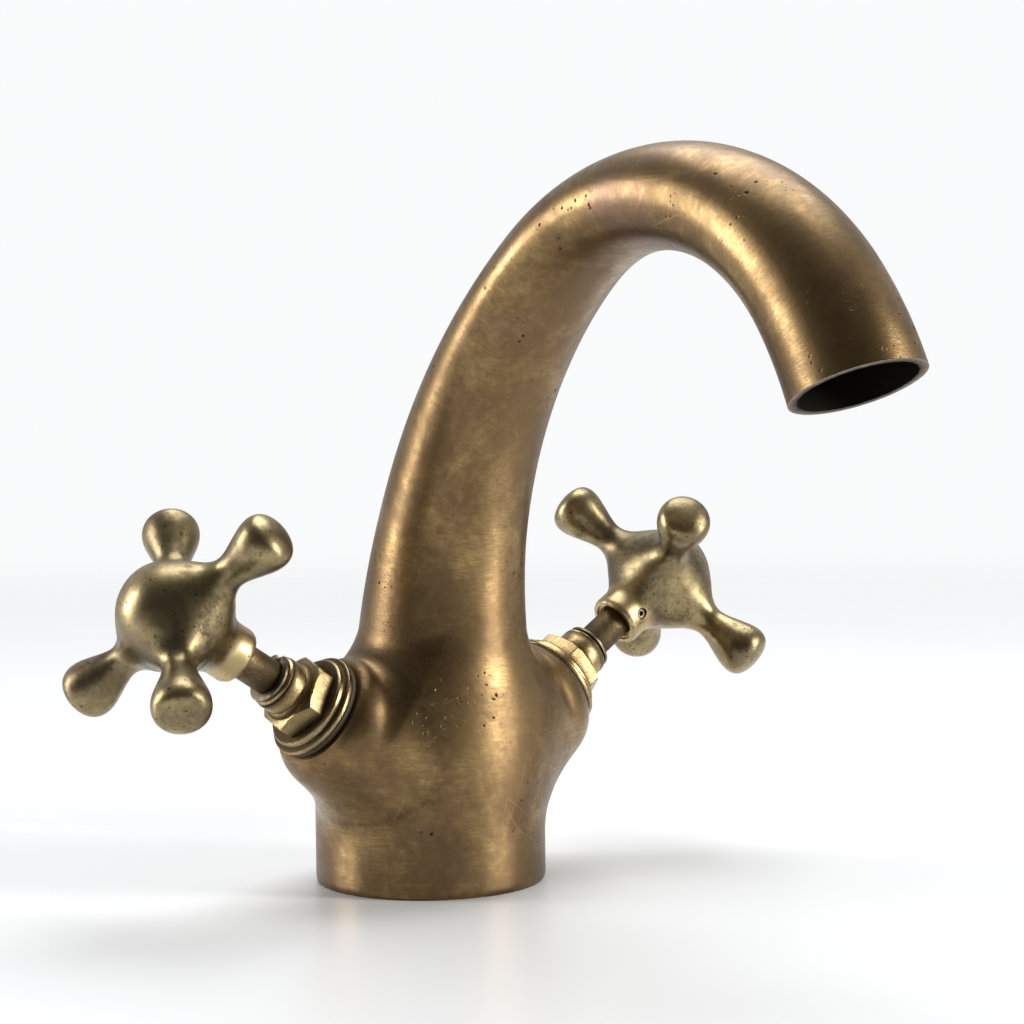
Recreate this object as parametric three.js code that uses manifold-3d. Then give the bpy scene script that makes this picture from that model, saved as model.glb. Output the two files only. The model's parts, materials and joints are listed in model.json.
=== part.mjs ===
// One-hole basin mixer in aged brass: a hollow swan-neck casting with two compression valves
// that lean out to each side, each turned by a cross handle with four ball-ended arms.
//
// Frame: millimetres, +Z up, the origin at the centre of the base's underside. The spout reaches
// towards -Y, the hot valve is on the -X side and the cold valve on the +X side.
//
// Each valve is built in its own frame, whose origin is where the two valve axes cross and whose
// +Z runs outwards along the valve's axis. "Station" means a distance along that axis.

import * as THREE from 'three';
import { mergeVertices } from 'three/addons/utils/BufferGeometryUtils.js';
import Module from 'manifold-3d';

const wasm = await Module();
wasm.setup();

// ---- driving dimensions -------------------------------------------------------------------

const GAP = 0.3;                  // left between solids that touch
const DEG = Math.PI / 180;

// base
const BASE_RADIUS = 25;
const FOOT_RADIUS = 24.2;         // the foot's edge is rounded
const FOOT_HEIGHT = 1.4;
const BASE_TOP = 15;              // the plain round base ends here
const BLEND_TOP = 44;             // and has become the spout here
const SEAL_GROOVE = { inner: 20.5, outer: 23, depth: 1.7 };
const PORT = { x: 9.5, y: -5, radius: 4.5, depth: 13, passage: 3.4, top: 24 };
const STUD_HOLE = { y: 11, radius: 3.4, depth: 16 };

// spout: its centreline lies in the plane x = 0, as arcs that turn towards -Y
const SPOUT_START = { y: -6.5, z: 30, heading: -9 };
const SPOUT_ARCS = [
  { radius: 107.7, turn: 61 },
  { radius: 50.7, turn: 92.2 },
  { radius: 77.2, turn: 13.2 },
];
const SPOUT_HALF_WIDTH = [20, 15.8, 14.6, 12.9, 12.8];   // across, at quarters of its length
const SPOUT_HALF_DEPTH = [20, 15, 9.6, 10.6, 12.8];      // in the plane of the bend
const LOW_SPOUT = 16;             // distance along the spout where its centre reaches BLEND_TOP
const WALL_AT_BASE = 3.4;
const WALL_AT_MOUTH = 1.6;
const WATERWAY_FLOOR = 43;

// valve axes
const VALVE_ORIGIN = { y: -3.1, z: 19.9 };
const VALVE_TILT = 32.8;          // degrees above the horizontal
const BOSS_FACE = 36.6;           // station of the boss's flat face
const BOSS_FACE_RADIUS = 11.8;
const BOSS_OUTLINE = [[-4, 18.5], [10, 17.8], [20, 16.4], [27, 15.4], [32, 14.7], [35, 13.7], [36.3, 12.6]];

// valve chamber in the casting
const CHAMBER = { radius: 7, floor: 16.2 };
const SEAT_POCKET = { radius: 6.3, floor: 13.2 };
const FEED = { radius: 3.6, floor: 7.5 };
const CROSS_PASSAGE_RADIUS = 4;

// bonnet
const BONNET_END = 25;            // inner end
const THREAD_RADIUS = 6.7;
const FLANGE = { radius: 11.2, from: 37.9, to: 39.2 };
const COLLAR = { radius: 10, to: 40.8 };
const HEX = { across_flats: 15, to: 45 };
const HEX_TURN = { hot: 13.6, cold: 50.2 };
const NECK = { radius: 5.8, to: 50.3 };
const GUIDE_FLATS = 9.3;          // the jumper slides in this hexagonal bore
const SHOULDER_BORE = { radius: 5.3, from: 38, to: 41 };
const STEM_BORE = 4.05;

// spindle
const STEM_RADIUS = 3.75;
const STEM_OUTER_END = 62.2;
const TANG = { radius: 2.9, to: 70 };
const SHOULDER = { radius: 4.9, from: 38.6, to: 40 };
const SCREW = { radius: 2.6, from: 29 };
const O_RING_STATIONS = [43.2, 47.4];
const O_RING = { radius: 3.32, section: 0.42 };
const O_RING_GROOVE = { radius: 2.6, half_width: 0.75 };
const CLIP = { inner: 3.2, outer: 5.4, from: 50.65, to: 51.25 };
const CLIP_GROOVE_RADIUS = 2.9;

// jumper, washer and seat
const JUMPER = { across_flats: 8.6, head: 6, from: 20.3, head_to: 21.7, to: 35.3 };
const JUMPER_BORE = { radius: 2.95, from: 25.7 };
const WASHER_SCREW = { shank: 1.4, head: 2.5, from: 16.9, head_to: 18, to: 23.5 };
const SEAT_WASHER = { inner: 1.75, outer: 5.6, from: 18.35, to: 20 };
const SEAT = { inner: 3.4, lip: 4.3, outer: 6, from: 13.5, step: 17.2, to: 18.05 };

// handle
const HUB_OUTLINE = [
  [60.2, 5.8], [61.2, 6.1], [65, 6.1], [68, 6.7], [71.5, 7.9], [75.5, 8.6], [80.6, 8.6],
  [84, 7.9], [86.8, 6.1], [88.4, 3.6],
];
const HUB_TOP = 89;
const HUB_ENTRY = [[60.2, 5], [60.9, 4.5], [61.5, 4.1]];
const TANG_SOCKET = { radius: 3.2, floor: 70.4 };
const ARM_STATION = 76.9;
const ARM_TURN = { hot: 45, cold: 47.5 };
const ARM_OUTLINE = [
  [4, 6], [9, 4.5], [12, 3.6], [15, 3.3], [18, 3.9], [21, 4.9], [24, 5.8], [26.6, 5.8], [28.6, 4.2],
];
const ARM_END = 29.6;
const GRUB = { station: 64.2, hole: 1.5, radius: 1.2, inner: 3.3, outer: 5.6 };
const GRUB_TURN = { hot: 90, cold: 270 };

// facets
const ROUND = 20;
const CASTING_ROUND = 28;
const FINE_ROUND = 12;
const SPOUT_STEPS = 26;            // sections along the spout's outside
const BORE_STEPS = 20;             // and along its bore

// ---- solids ---------------------------------------------------------------------------------

// The same shape with only positions, shared vertices merged and its faces turned outwards.
function closed(geometry) {
  const bare = geometry.clone();
  bare.deleteAttribute('normal');
  bare.deleteAttribute('uv');
  const merged = mergeVertices(bare, 1e-4);
  const position = merged.getAttribute('position');
  const corners = [0, 1, 2].map(() => new THREE.Vector3());
  const index = [];
  let volume = 0;
  for (let i = 0; i < merged.index.count; i += 3) {
    const triangle = [0, 1, 2].map((k) => merged.index.getX(i + k));
    if (new Set(triangle).size === 3) {
      triangle.forEach((vertex, k) => corners[k].fromBufferAttribute(position, vertex));
      volume += corners[0].dot(corners[1].clone().cross(corners[2]));
      index.push(triangle);
    }
  }
  const outwards = volume > 0 ? index : index.map(([a, b, c]) => [a, c, b]);
  const result = new THREE.BufferGeometry();
  result.setAttribute('position', position.clone());
  result.setIndex(outwards.flat());
  return result;
}

function toSolid(geometry) {
  const shape = closed(geometry);
  return new wasm.Manifold(new wasm.Mesh({
    numProp: 3,
    vertProperties: new Float32Array(shape.getAttribute('position').array),
    triVerts: new Uint32Array(shape.index.array),
  }));
}

function toGeometry(solid) {
  const mesh = solid.getMesh();
  const geometry = new THREE.BufferGeometry();
  geometry.setAttribute('position', new THREE.BufferAttribute(mesh.vertProperties, 3));
  geometry.setIndex(new THREE.BufferAttribute(mesh.triVerts, 1));
  return closed(geometry);
}

// First geometry joined with `added`, then cut by `removed`.
function combine(first, added, removed) {
  let solid = toSolid(first);
  for (const geometry of added) {
    solid = solid.add(toSolid(geometry));
  }
  for (const geometry of removed) {
    solid = solid.subtract(toSolid(geometry));
  }
  return toGeometry(solid);
}

// A solid of revolution about Z. The outline is [station, radius] pairs, closed onto the axis.
function turned(outline, segments = ROUND) {
  const points = outline.map(([station, radius]) => new THREE.Vector2(radius, station));
  points.unshift(new THREE.Vector2(0, points[0].y));
  points.push(new THREE.Vector2(0, points[points.length - 1].y));
  return closed(new THREE.LatheGeometry(points, segments).rotateX(Math.PI / 2));
}

// A ring of revolution about Z. The outline is [station, radius] pairs that go round the section.
function ring(outline, segments = ROUND) {
  const points = outline.map(([station, radius]) => new THREE.Vector2(radius, station));
  points.push(points[0].clone());
  return closed(new THREE.LatheGeometry(points, segments).rotateX(Math.PI / 2));
}

function washer(inner, outer, from, to, segments = ROUND) {
  return ring([[from, inner], [from, outer], [to, outer], [to, inner]], segments);
}

function rod(radius, from, to, segments = ROUND) {
  return turned([[from, radius], [to, radius]], segments);
}

function hexagonalRod(acrossFlats, from, to, turn = 0) {
  const hexagon = rod(acrossFlats / Math.sqrt(3), from, to, 6);
  return hexagon.rotateZ(turn * DEG - Math.PI / 2);
}

// A closed skin over rings of points that all have the same number of points.
function loft(rings) {
  const count = rings[0].length;
  const points = rings.flat();
  const index = [];
  for (let level = 0; level < rings.length - 1; level += 1) {
    for (let k = 0; k < count; k += 1) {
      const low = level * count;
      const next = (k + 1) % count;
      index.push(low + k, low + next, low + count + k);
      index.push(low + next, low + count + next, low + count + k);
    }
  }
  [0, rings.length - 1].forEach((level, cap) => {
    const centre = new THREE.Vector3();
    rings[level].forEach((point) => centre.addScaledVector(point, 1 / count));
    points.push(centre);
    for (let k = 0; k < count; k += 1) {
      const here = level * count + k;
      const next = level * count + ((k + 1) % count);
      index.push(points.length - 1, cap ? here : next, cap ? next : here);
    }
  });
  const geometry = new THREE.BufferGeometry().setFromPoints(points);
  geometry.setIndex(index);
  return closed(geometry);
}

// ---- casting ----------------------------------------------------------------------------------

const SPOUT_LENGTH = SPOUT_ARCS.reduce((sum, arc) => sum + arc.radius * arc.turn * DEG, 0);

// Centre (y, z) and heading, in degrees from +Z towards -Y, at a distance along the centreline.
function spoutAt(distance) {
  let { y, z, heading } = SPOUT_START;
  let left = distance;
  for (const arc of SPOUT_ARCS) {
    const last = arc === SPOUT_ARCS[SPOUT_ARCS.length - 1];
    const length = arc.radius * arc.turn * DEG;
    const turn = last ? left / arc.radius : Math.min(left, length) / arc.radius;
    const before = heading * DEG;
    const after = before + turn;
    y -= arc.radius * (Math.cos(before) - Math.cos(after));
    z += arc.radius * (Math.sin(after) - Math.sin(before));
    heading = after / DEG;
    left -= turn * arc.radius;
    if (left <= 1e-9) {
      break;
    }
  }
  return { y, z, heading };
}

// Smooth curve through evenly spaced values, for 0 <= u <= 1.
function through(values, u) {
  const points = values.map((value, k) => new THREE.Vector2(k / (values.length - 1), value));
  return new THREE.SplineCurve(points).getPoint(Math.min(Math.max(u, 0), 1)).y;
}

function spoutSection(distance) {
  const u = distance / SPOUT_LENGTH;
  return {
    ...spoutAt(distance),
    width: through(SPOUT_HALF_WIDTH, u),
    depth: through(SPOUT_HALF_DEPTH, u),
  };
}

// An elliptical ring of points across the centreline.
function sectionRing({ y, z, heading, width, depth }, segments) {
  const across = new THREE.Vector3(1, 0, 0);
  const inPlane = new THREE.Vector3(0, Math.cos(heading * DEG), Math.sin(heading * DEG));
  return Array.from({ length: segments }, (_, k) => {
    const angle = (2 * Math.PI * k) / segments;
    return new THREE.Vector3(0, y, z)
      .addScaledVector(across, width * Math.cos(angle))
      .addScaledVector(inPlane, depth * Math.sin(angle));
  });
}


function spoutSections(from, steps) {
  const sections = [];
  for (let k = 0; k <= steps; k += 1) {
    sections.push(spoutSection(from + ((SPOUT_LENGTH - from) * k) / steps));
  }
  return sections;
}

// Round base that rises and swings over into the spout.
function castingSkin() {
  const flat = (z, radius) => ({ y: 0, z, heading: 0, width: radius, depth: radius });
  const low = [
    flat(0, FOOT_RADIUS),
    flat(FOOT_HEIGHT * 0.3, FOOT_RADIUS + 0.55),
    flat(FOOT_HEIGHT, BASE_RADIUS),
    flat(BASE_TOP, BASE_RADIUS),
  ];
  const target = spoutSection(LOW_SPOUT);
  const blend = [0.2, 0.4, 0.6, 0.8].map((u) => {
    const ease = THREE.MathUtils.smoothstep(u, 0, 1);
    const mix = (a, b) => THREE.MathUtils.lerp(a, b, ease);
    return {
      y: mix(0, target.y),
      z: THREE.MathUtils.lerp(BASE_TOP, target.z, u),
      heading: mix(0, target.heading),
      width: mix(BASE_RADIUS, target.width),
      depth: mix(BASE_RADIUS, target.depth),
    };
  });
  const sections = [...low, ...blend, ...spoutSections(LOW_SPOUT, SPOUT_STEPS)];
  return loft(sections.map((section) => sectionRing(section, CASTING_ROUND)));
}

// Waterway of the spout, from its rounded floor out through the mouth.
function spoutBore() {
  const start = WATERWAY_FLOOR - BLEND_TOP + LOW_SPOUT;
  const inner = spoutSections(start, BORE_STEPS).map((section, k) => {
    const wall = THREE.MathUtils.lerp(WALL_AT_BASE, WALL_AT_MOUTH, Math.min((2 * k) / BORE_STEPS, 1));
    return { ...section, width: section.width - wall, depth: section.depth - wall };
  });
  const floor = { ...inner[0], width: inner[0].width * 0.7, depth: inner[0].depth * 0.7 };
  floor.z -= 2.5;
  const mouth = inner[inner.length - 1];
  const past = {
    ...mouth,
    y: mouth.y - Math.sin(mouth.heading * DEG),
    z: mouth.z + Math.cos(mouth.heading * DEG),
  };
  return loft([floor, ...inner, past].map((section) => sectionRing(section, ROUND)));
}

function valveMatrix(side) {
  const turn = side * (90 - VALVE_TILT) * DEG;
  return new THREE.Matrix4()
    .makeTranslation(0, VALVE_ORIGIN.y, VALVE_ORIGIN.z)
    .multiply(new THREE.Matrix4().makeRotationY(turn));
}

function boss(side) {
  const outline = [...BOSS_OUTLINE, [BOSS_FACE, BOSS_FACE_RADIUS]];
  return turned(outline).applyMatrix4(valveMatrix(side));
}

// Stepped valve chamber: mouth, seat pocket and feed hole.
function valveChamber(side) {
  const outline = [
    [FEED.floor, FEED.radius], [SEAT_POCKET.floor, FEED.radius],
    [SEAT_POCKET.floor, SEAT_POCKET.radius], [CHAMBER.floor, SEAT_POCKET.radius],
    [CHAMBER.floor, CHAMBER.radius], [BOSS_FACE + 2, CHAMBER.radius],
  ];
  return turned(outline).applyMatrix4(valveMatrix(side));
}

// Straight round passage between two points.
function passage(from, to, radius) {
  const way = to.clone().sub(from);
  const tilt = new THREE.Quaternion().setFromUnitVectors(
    new THREE.Vector3(0, 0, 1),
    way.clone().normalize(),
  );
  return rod(radius, 0, way.length(), FINE_ROUND)
    .applyQuaternion(tilt)
    .translate(from.x, from.y, from.z);
}

function crossPassage(side) {
  const chamber = new THREE.Vector3(0, 0, 24).applyMatrix4(valveMatrix(side));
  const waterway = new THREE.Vector3(side * 8, -5, WATERWAY_FLOOR + 4);
  return passage(chamber, waterway, CROSS_PASSAGE_RADIUS);
}

function inletPort(side) {
  const outline = [
    [-1, PORT.radius], [PORT.depth, PORT.radius],
    [PORT.depth, PORT.passage], [PORT.top, PORT.passage],
  ];
  return turned(outline).translate(side * PORT.x, PORT.y, 0);
}

function castingGeometry() {
  const { inner, outer, depth } = SEAL_GROOVE;
  const sides = [-1, 1];
  return combine(castingSkin(), sides.map(boss), [
    spoutBore(),
    ...sides.map(valveChamber),
    ...sides.map(crossPassage),
    ...sides.map(inletPort),
    rod(STUD_HOLE.radius, -1, STUD_HOLE.depth).translate(0, STUD_HOLE.y, 0),
    washer(inner, outer, -1, depth, CASTING_ROUND),
  ]);
}

// ---- valve pieces, each in the valve's frame ----------------------------------------------------

function bonnetGeometry(turn) {
  const { radius, from, to } = FLANGE;
  const corner = HEX.across_flats / Math.sqrt(3);
  const hexagon = hexagonalRod(HEX.across_flats, COLLAR.to - 0.4, HEX.to, turn);
  const chamfer = turned([
    [COLLAR.to - 1, corner + 1], [HEX.to - 0.9, corner + 0.1], [HEX.to + 0.1, corner - 1.3],
  ]);
  const nut = toGeometry(toSolid(hexagon).intersect(toSolid(chamfer)));
  const body = turned([
    [BONNET_END, THREAD_RADIUS - 0.6], [BONNET_END + 0.6, THREAD_RADIUS],
    [from, THREAD_RADIUS], [from, radius - 0.2], [from + 0.3, radius], [to - 0.4, radius],
    [to, radius - 0.5], [to, COLLAR.radius + 0.6], [to + 0.7, COLLAR.radius],
    [COLLAR.to, COLLAR.radius - 0.2], [COLLAR.to, 6.6], [HEX.to + 0.4, 6.6],
    [HEX.to + 0.9, NECK.radius], [NECK.to - 0.5, NECK.radius], [NECK.to, NECK.radius - 0.5],
  ]);
  return combine(body, [nut], [
    hexagonalRod(GUIDE_FLATS, BONNET_END - 1, SHOULDER_BORE.from + 0.5),
    rod(SHOULDER_BORE.radius, SHOULDER_BORE.from, SHOULDER_BORE.to),
    rod(STEM_BORE, SHOULDER_BORE.to - 1, NECK.to + 1),
  ]);
}

function spindleGeometry() {
  const groove = O_RING_STATIONS.flatMap((station) => [
    [station - O_RING_GROOVE.half_width, STEM_RADIUS],
    [station - O_RING_GROOVE.half_width, O_RING_GROOVE.radius],
    [station + O_RING_GROOVE.half_width, O_RING_GROOVE.radius],
    [station + O_RING_GROOVE.half_width, STEM_RADIUS],
  ]);
  return turned([
    [SCREW.from, SCREW.radius - 0.5], [SCREW.from + 0.5, SCREW.radius],
    [SHOULDER.from, SCREW.radius], [SHOULDER.from, SHOULDER.radius],
    [SHOULDER.to, SHOULDER.radius], [SHOULDER.to, STEM_RADIUS],
    ...groove,
    [CLIP.from - GAP, STEM_RADIUS], [CLIP.from - GAP, CLIP_GROOVE_RADIUS],
    [CLIP.to + GAP, CLIP_GROOVE_RADIUS], [CLIP.to + GAP, STEM_RADIUS],
    [STEM_OUTER_END - 0.5, STEM_RADIUS], [STEM_OUTER_END, STEM_RADIUS - 0.4],
    [STEM_OUTER_END, TANG.radius], [TANG.to - 0.4, TANG.radius], [TANG.to, TANG.radius - 0.4],
  ]);
}

function oRingGeometry(station) {
  return closed(new THREE.TorusGeometry(O_RING.radius, O_RING.section, 6, ROUND)
    .translate(0, 0, station));
}

// An open ring: the gap lets it spring over the spindle.
function clipGeometry() {
  const disc = washer(CLIP.inner, CLIP.outer, CLIP.from, CLIP.to);
  const slot = new THREE.BoxGeometry(CLIP.outer * 2, 2.4, 4).translate(CLIP.outer, 0, CLIP.from);
  return combine(disc, [], [slot]);
}

function jumperGeometry() {
  const head = turned([
    [JUMPER.from, JUMPER.head], [JUMPER.head_to - 0.4, JUMPER.head],
    [JUMPER.head_to, JUMPER.head - 0.4],
  ]);
  return combine(head, [hexagonalRod(JUMPER.across_flats, JUMPER.from + 0.5, JUMPER.to)], [
    rod(JUMPER_BORE.radius, JUMPER_BORE.from, JUMPER.to + 1),
    rod(WASHER_SCREW.shank + GAP, JUMPER.from - 1, WASHER_SCREW.to + GAP, FINE_ROUND),
  ]);
}

function washerScrewGeometry() {
  const { shank, head, from, head_to: top, to } = WASHER_SCREW;
  const screw = turned([
    [from, head - 0.4], [from + 0.4, head], [top, head], [top, shank], [to, shank],
  ], FINE_ROUND);
  const slot = new THREE.BoxGeometry(head * 3, 0.7, 0.8).translate(0, 0, from);
  return combine(screw, [], [slot]);
}

function seatGeometry() {
  const { inner, lip, outer, from, step, to } = SEAT;
  return ring([[from, inner], [from, outer], [step, outer], [to, lip], [to, inner]]);
}

function armGeometry(turn) {
  return turned([...ARM_OUTLINE, [ARM_END, 1.6]], FINE_ROUND)
    .rotateY(Math.PI / 2)
    .translate(0, 0, ARM_STATION)
    .rotateZ(turn * DEG);
}

function grubRod(radius, inner, outer, turn) {
  return rod(radius, inner, outer, FINE_ROUND)
    .rotateY(Math.PI / 2)
    .translate(0, 0, GRUB.station)
    .rotateZ(turn * DEG);
}

function handleGeometry(armTurn, grubTurn) {
  const hub = turned([...HUB_OUTLINE, [HUB_TOP, 0.8]]);
  const arms = [0, 90, 180, 270].map((turn) => armGeometry(armTurn + turn));
  const entry = turned([
    [HUB_ENTRY[0][0] - 1, HUB_ENTRY[0][1]],
    ...HUB_ENTRY.slice(1).flatMap(([station, radius], k) => [
      [station, HUB_ENTRY[k][1]], [station, radius],
    ]),
    [STEM_OUTER_END + GAP, HUB_ENTRY[HUB_ENTRY.length - 1][1]],
    [STEM_OUTER_END + GAP, TANG_SOCKET.radius], [TANG_SOCKET.floor, TANG_SOCKET.radius],
  ]);
  return combine(hub, arms, [entry, grubRod(GRUB.hole, 2, 9, grubTurn)]);
}

function grubGeometry(turn) {
  const socket = hexagonalRod(1.3, GRUB.outer - 1.2, GRUB.outer + 1)
    .rotateY(Math.PI / 2)
    .translate(0, 0, GRUB.station)
    .rotateZ(turn * DEG);
  return combine(grubRod(GRUB.radius, GRUB.inner, GRUB.outer, turn), [], [socket]);
}

// ---- materials and assembly -----------------------------------------------------------------------

const agedBrass = new THREE.MeshStandardMaterial({ color: 0x94703c, metalness: 1, roughness: 0.42 });
const wornBrass = new THREE.MeshStandardMaterial({ color: 0xa08a52, metalness: 1, roughness: 0.36 });
const darkBrass = new THREE.MeshStandardMaterial({ color: 0x6f5f3a, metalness: 1, roughness: 0.45 });
const newBrass = new THREE.MeshStandardMaterial({ color: 0xb99a56, metalness: 1, roughness: 0.3 });
const steel = new THREE.MeshStandardMaterial({ color: 0x6e6a62, metalness: 1, roughness: 0.4 });
const fibre = new THREE.MeshStandardMaterial({ color: 0x2b211a, metalness: 0, roughness: 0.9 });
const rubber = new THREE.MeshStandardMaterial({ color: 0x151515, metalness: 0, roughness: 0.8 });

function place(parent, name, geometry, material) {
  const mesh = new THREE.Mesh(geometry, material);
  mesh.name = name;
  parent.add(mesh);
}

const faucet = new THREE.Group();
place(faucet, 'body_casting', castingGeometry(), agedBrass);
place(faucet, 'base_seal_ring', washer(
  SEAL_GROOVE.inner + GAP,
  SEAL_GROOVE.outer - GAP,
  0.1,
  SEAL_GROOVE.depth - GAP,
  CASTING_ROUND,
), rubber);

for (const [label, side] of [['hot', -1], ['cold', 1]]) {
  const valve = new THREE.Group();
  valve.position.set(0, VALVE_ORIGIN.y, VALVE_ORIGIN.z);
  valve.rotation.y = side * (90 - VALVE_TILT) * DEG;
  faucet.add(valve);

  const add = (name, geometry, material) => place(valve, `${name}_${label}`, geometry, material);
  add('bonnet', bonnetGeometry(HEX_TURN[label]), wornBrass);
  add('bonnet_washer', washer(
    THREAD_RADIUS + GAP,
    FLANGE.radius - 1.2,
    BOSS_FACE + GAP,
    FLANGE.from - GAP,
  ), fibre);
  add('spindle', spindleGeometry(), darkBrass);
  add('retaining_clip', clipGeometry(), steel);
  add('thrust_washer', washer(
    STEM_RADIUS + GAP,
    SHOULDER.radius + 0.1,
    SHOULDER.to + GAP,
    SHOULDER_BORE.to - GAP,
  ), fibre);
  add('o_ring_inner', oRingGeometry(O_RING_STATIONS[0]), rubber);
  add('o_ring_outer', oRingGeometry(O_RING_STATIONS[1]), rubber);
  add('jumper', jumperGeometry(), newBrass);
  add('seat_washer', washer(
    SEAT_WASHER.inner,
    SEAT_WASHER.outer,
    SEAT_WASHER.from,
    SEAT_WASHER.to,
  ), rubber);
  add('washer_screw', washerScrewGeometry(), newBrass);
  add('seat_bush', seatGeometry(), newBrass);
  add('handle', handleGeometry(ARM_TURN[label], GRUB_TURN[label]), darkBrass);
  add('grub_screw', grubGeometry(GRUB_TURN[label]), steel);
}

export default faucet;
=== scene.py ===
"""Basin mixer in aged brass: the visible pieces, their finishes and a plain studio.

Everything is in metres. Each valve has its own frame: the origin is where the two valve axes
cross, +Z runs outwards along the valve's axis, and a "station" is a distance along it.
"""

import json
import math

import bpy
import numpy as np
from mathutils import Matrix, Vector


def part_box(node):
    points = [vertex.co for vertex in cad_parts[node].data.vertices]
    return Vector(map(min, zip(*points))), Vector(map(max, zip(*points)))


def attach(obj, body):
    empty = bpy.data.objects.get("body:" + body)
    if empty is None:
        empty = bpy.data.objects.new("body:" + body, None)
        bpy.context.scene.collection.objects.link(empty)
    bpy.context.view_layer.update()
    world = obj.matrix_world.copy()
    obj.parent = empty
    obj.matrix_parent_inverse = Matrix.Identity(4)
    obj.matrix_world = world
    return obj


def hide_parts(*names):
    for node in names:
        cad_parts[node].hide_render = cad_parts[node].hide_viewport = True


bl_info = {
    "name": "Basin Mixer",
    "version": (1, 0, 0),
    "blender": (4, 5, 0),
    "location": "3D View > Sidebar > Mixer",
    "description": "Builds a swan-neck basin mixer with two cross handles in aged brass",
    "category": "Object",
}

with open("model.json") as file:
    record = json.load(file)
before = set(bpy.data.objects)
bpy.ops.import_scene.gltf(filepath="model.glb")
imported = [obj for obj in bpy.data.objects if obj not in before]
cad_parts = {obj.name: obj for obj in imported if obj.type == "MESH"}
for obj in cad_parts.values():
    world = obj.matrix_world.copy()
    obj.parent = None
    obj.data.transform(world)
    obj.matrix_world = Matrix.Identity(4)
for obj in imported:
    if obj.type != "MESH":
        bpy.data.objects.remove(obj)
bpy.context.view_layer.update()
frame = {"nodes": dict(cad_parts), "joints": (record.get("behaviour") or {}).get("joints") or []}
MM = 0.001
SIDES = ("hot", "cold")


# ---- sizes and colours that a user would change --------------------------------------------

class MixerCasting(bpy.types.PropertyGroup):
    base_radius: bpy.props.FloatProperty(
        name="Base radius", description="Radius of the round base",
        default=25 * MM, min=10 * MM, unit="LENGTH")
    foot_round: bpy.props.FloatProperty(
        name="Foot rounding", description="How far the foot's edge is rounded in",
        default=0.8 * MM, min=0, unit="LENGTH")
    upper_crease: bpy.props.FloatProperty(
        name="Upper crease", description="Width of the soft hollow between boss and spout",
        default=16 * MM, min=1 * MM, unit="LENGTH")
    lower_crease: bpy.props.FloatProperty(
        name="Lower crease", description="Width of the soft hollow between boss and base",
        default=5 * MM, min=1 * MM, unit="LENGTH")
    mouth_wall: bpy.props.FloatProperty(
        name="Mouth wall", description="Wall thickness at the spout's mouth",
        default=1.6 * MM, min=0.5 * MM, unit="LENGTH")
    grain: bpy.props.FloatProperty(
        name="Mesh size", description="Size of the casting's mesh cells",
        default=0.75 * MM, min=0.3 * MM, unit="LENGTH")


class MixerValve(bpy.types.PropertyGroup):
    flange_radius: bpy.props.FloatProperty(
        name="Flange radius", description="Radius of the bonnet's thin flange",
        default=11.2 * MM, min=5 * MM, unit="LENGTH")
    hexagon_flats: bpy.props.FloatProperty(
        name="Across flats", description="Spanner size of the bonnet's hexagon",
        default=15 * MM, min=8 * MM, unit="LENGTH")
    neck_radius: bpy.props.FloatProperty(
        name="Neck radius", description="Radius of the bonnet's neck",
        default=5.8 * MM, min=4 * MM, unit="LENGTH")
    stem_radius: bpy.props.FloatProperty(
        name="Stem radius", description="Radius of the spindle's bare stem",
        default=3.75 * MM, min=2 * MM, unit="LENGTH")


class MixerHandle(bpy.types.PropertyGroup):
    arm_station: bpy.props.FloatProperty(
        name="Arm station", description="Where the four arms lie along the valve's axis",
        default=76.9 * MM, min=60 * MM, unit="LENGTH")
    arm_blend: bpy.props.FloatProperty(
        name="Arm blend", description="Width of the soft hollow where an arm meets the hub",
        default=8 * MM, min=1 * MM, unit="LENGTH")
    hot_turn: bpy.props.FloatProperty(
        name="Hot turn", description="Turn of the hot handle's arms at rest",
        default=math.radians(45), subtype="ANGLE")
    cold_turn: bpy.props.FloatProperty(
        name="Cold turn", description="Turn of the cold handle's arms at rest",
        default=math.radians(47.5), subtype="ANGLE")
    grain: bpy.props.FloatProperty(
        name="Mesh size", description="Size of a handle's mesh cells",
        default=0.42 * MM, min=0.2 * MM, unit="LENGTH")


class MixerFinish(bpy.types.PropertyGroup):
    gold: bpy.props.FloatVectorProperty(
        name="Gold", description="Clean brass where the patina is thin",
        default=(0.41, 0.275, 0.118), size=3, min=0, max=1, subtype="COLOR")
    brown: bpy.props.FloatVectorProperty(
        name="Brown", description="Brown patina of the casting",
        default=(0.150, 0.096, 0.047), size=3, min=0, max=1, subtype="COLOR")
    plum: bpy.props.FloatVectorProperty(
        name="Plum", description="Purplish tarnish stains",
        default=(0.190, 0.122, 0.094), size=3, min=0, max=1, subtype="COLOR")
    olive: bpy.props.FloatVectorProperty(
        name="Olive", description="Olive brass of the handles and bonnets",
        default=(0.37, 0.295, 0.150), size=3, min=0, max=1, subtype="COLOR")
    # Bare brass also paints the highlight on the handles' ball ends.
    bare: bpy.props.FloatVectorProperty(
        name="Bare", description="Pale bare brass where a handle is rubbed or turned",
        default=(0.56, 0.430, 0.225), size=3, min=0, max=1, subtype="COLOR")
    umber: bpy.props.FloatVectorProperty(
        name="Umber", description="Dark film on the handles",
        default=(0.140, 0.108, 0.064), size=3, min=0, max=1, subtype="COLOR")
    # Soot is also the colour of the shade painted in the turned pieces' grooves and joints.
    soot_and_shade: bpy.props.FloatVectorProperty(
        name="Soot", description="Dark grime in grooves and creases",
        default=(0.035, 0.026, 0.015), size=3, min=0, max=1, subtype="COLOR")


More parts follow.
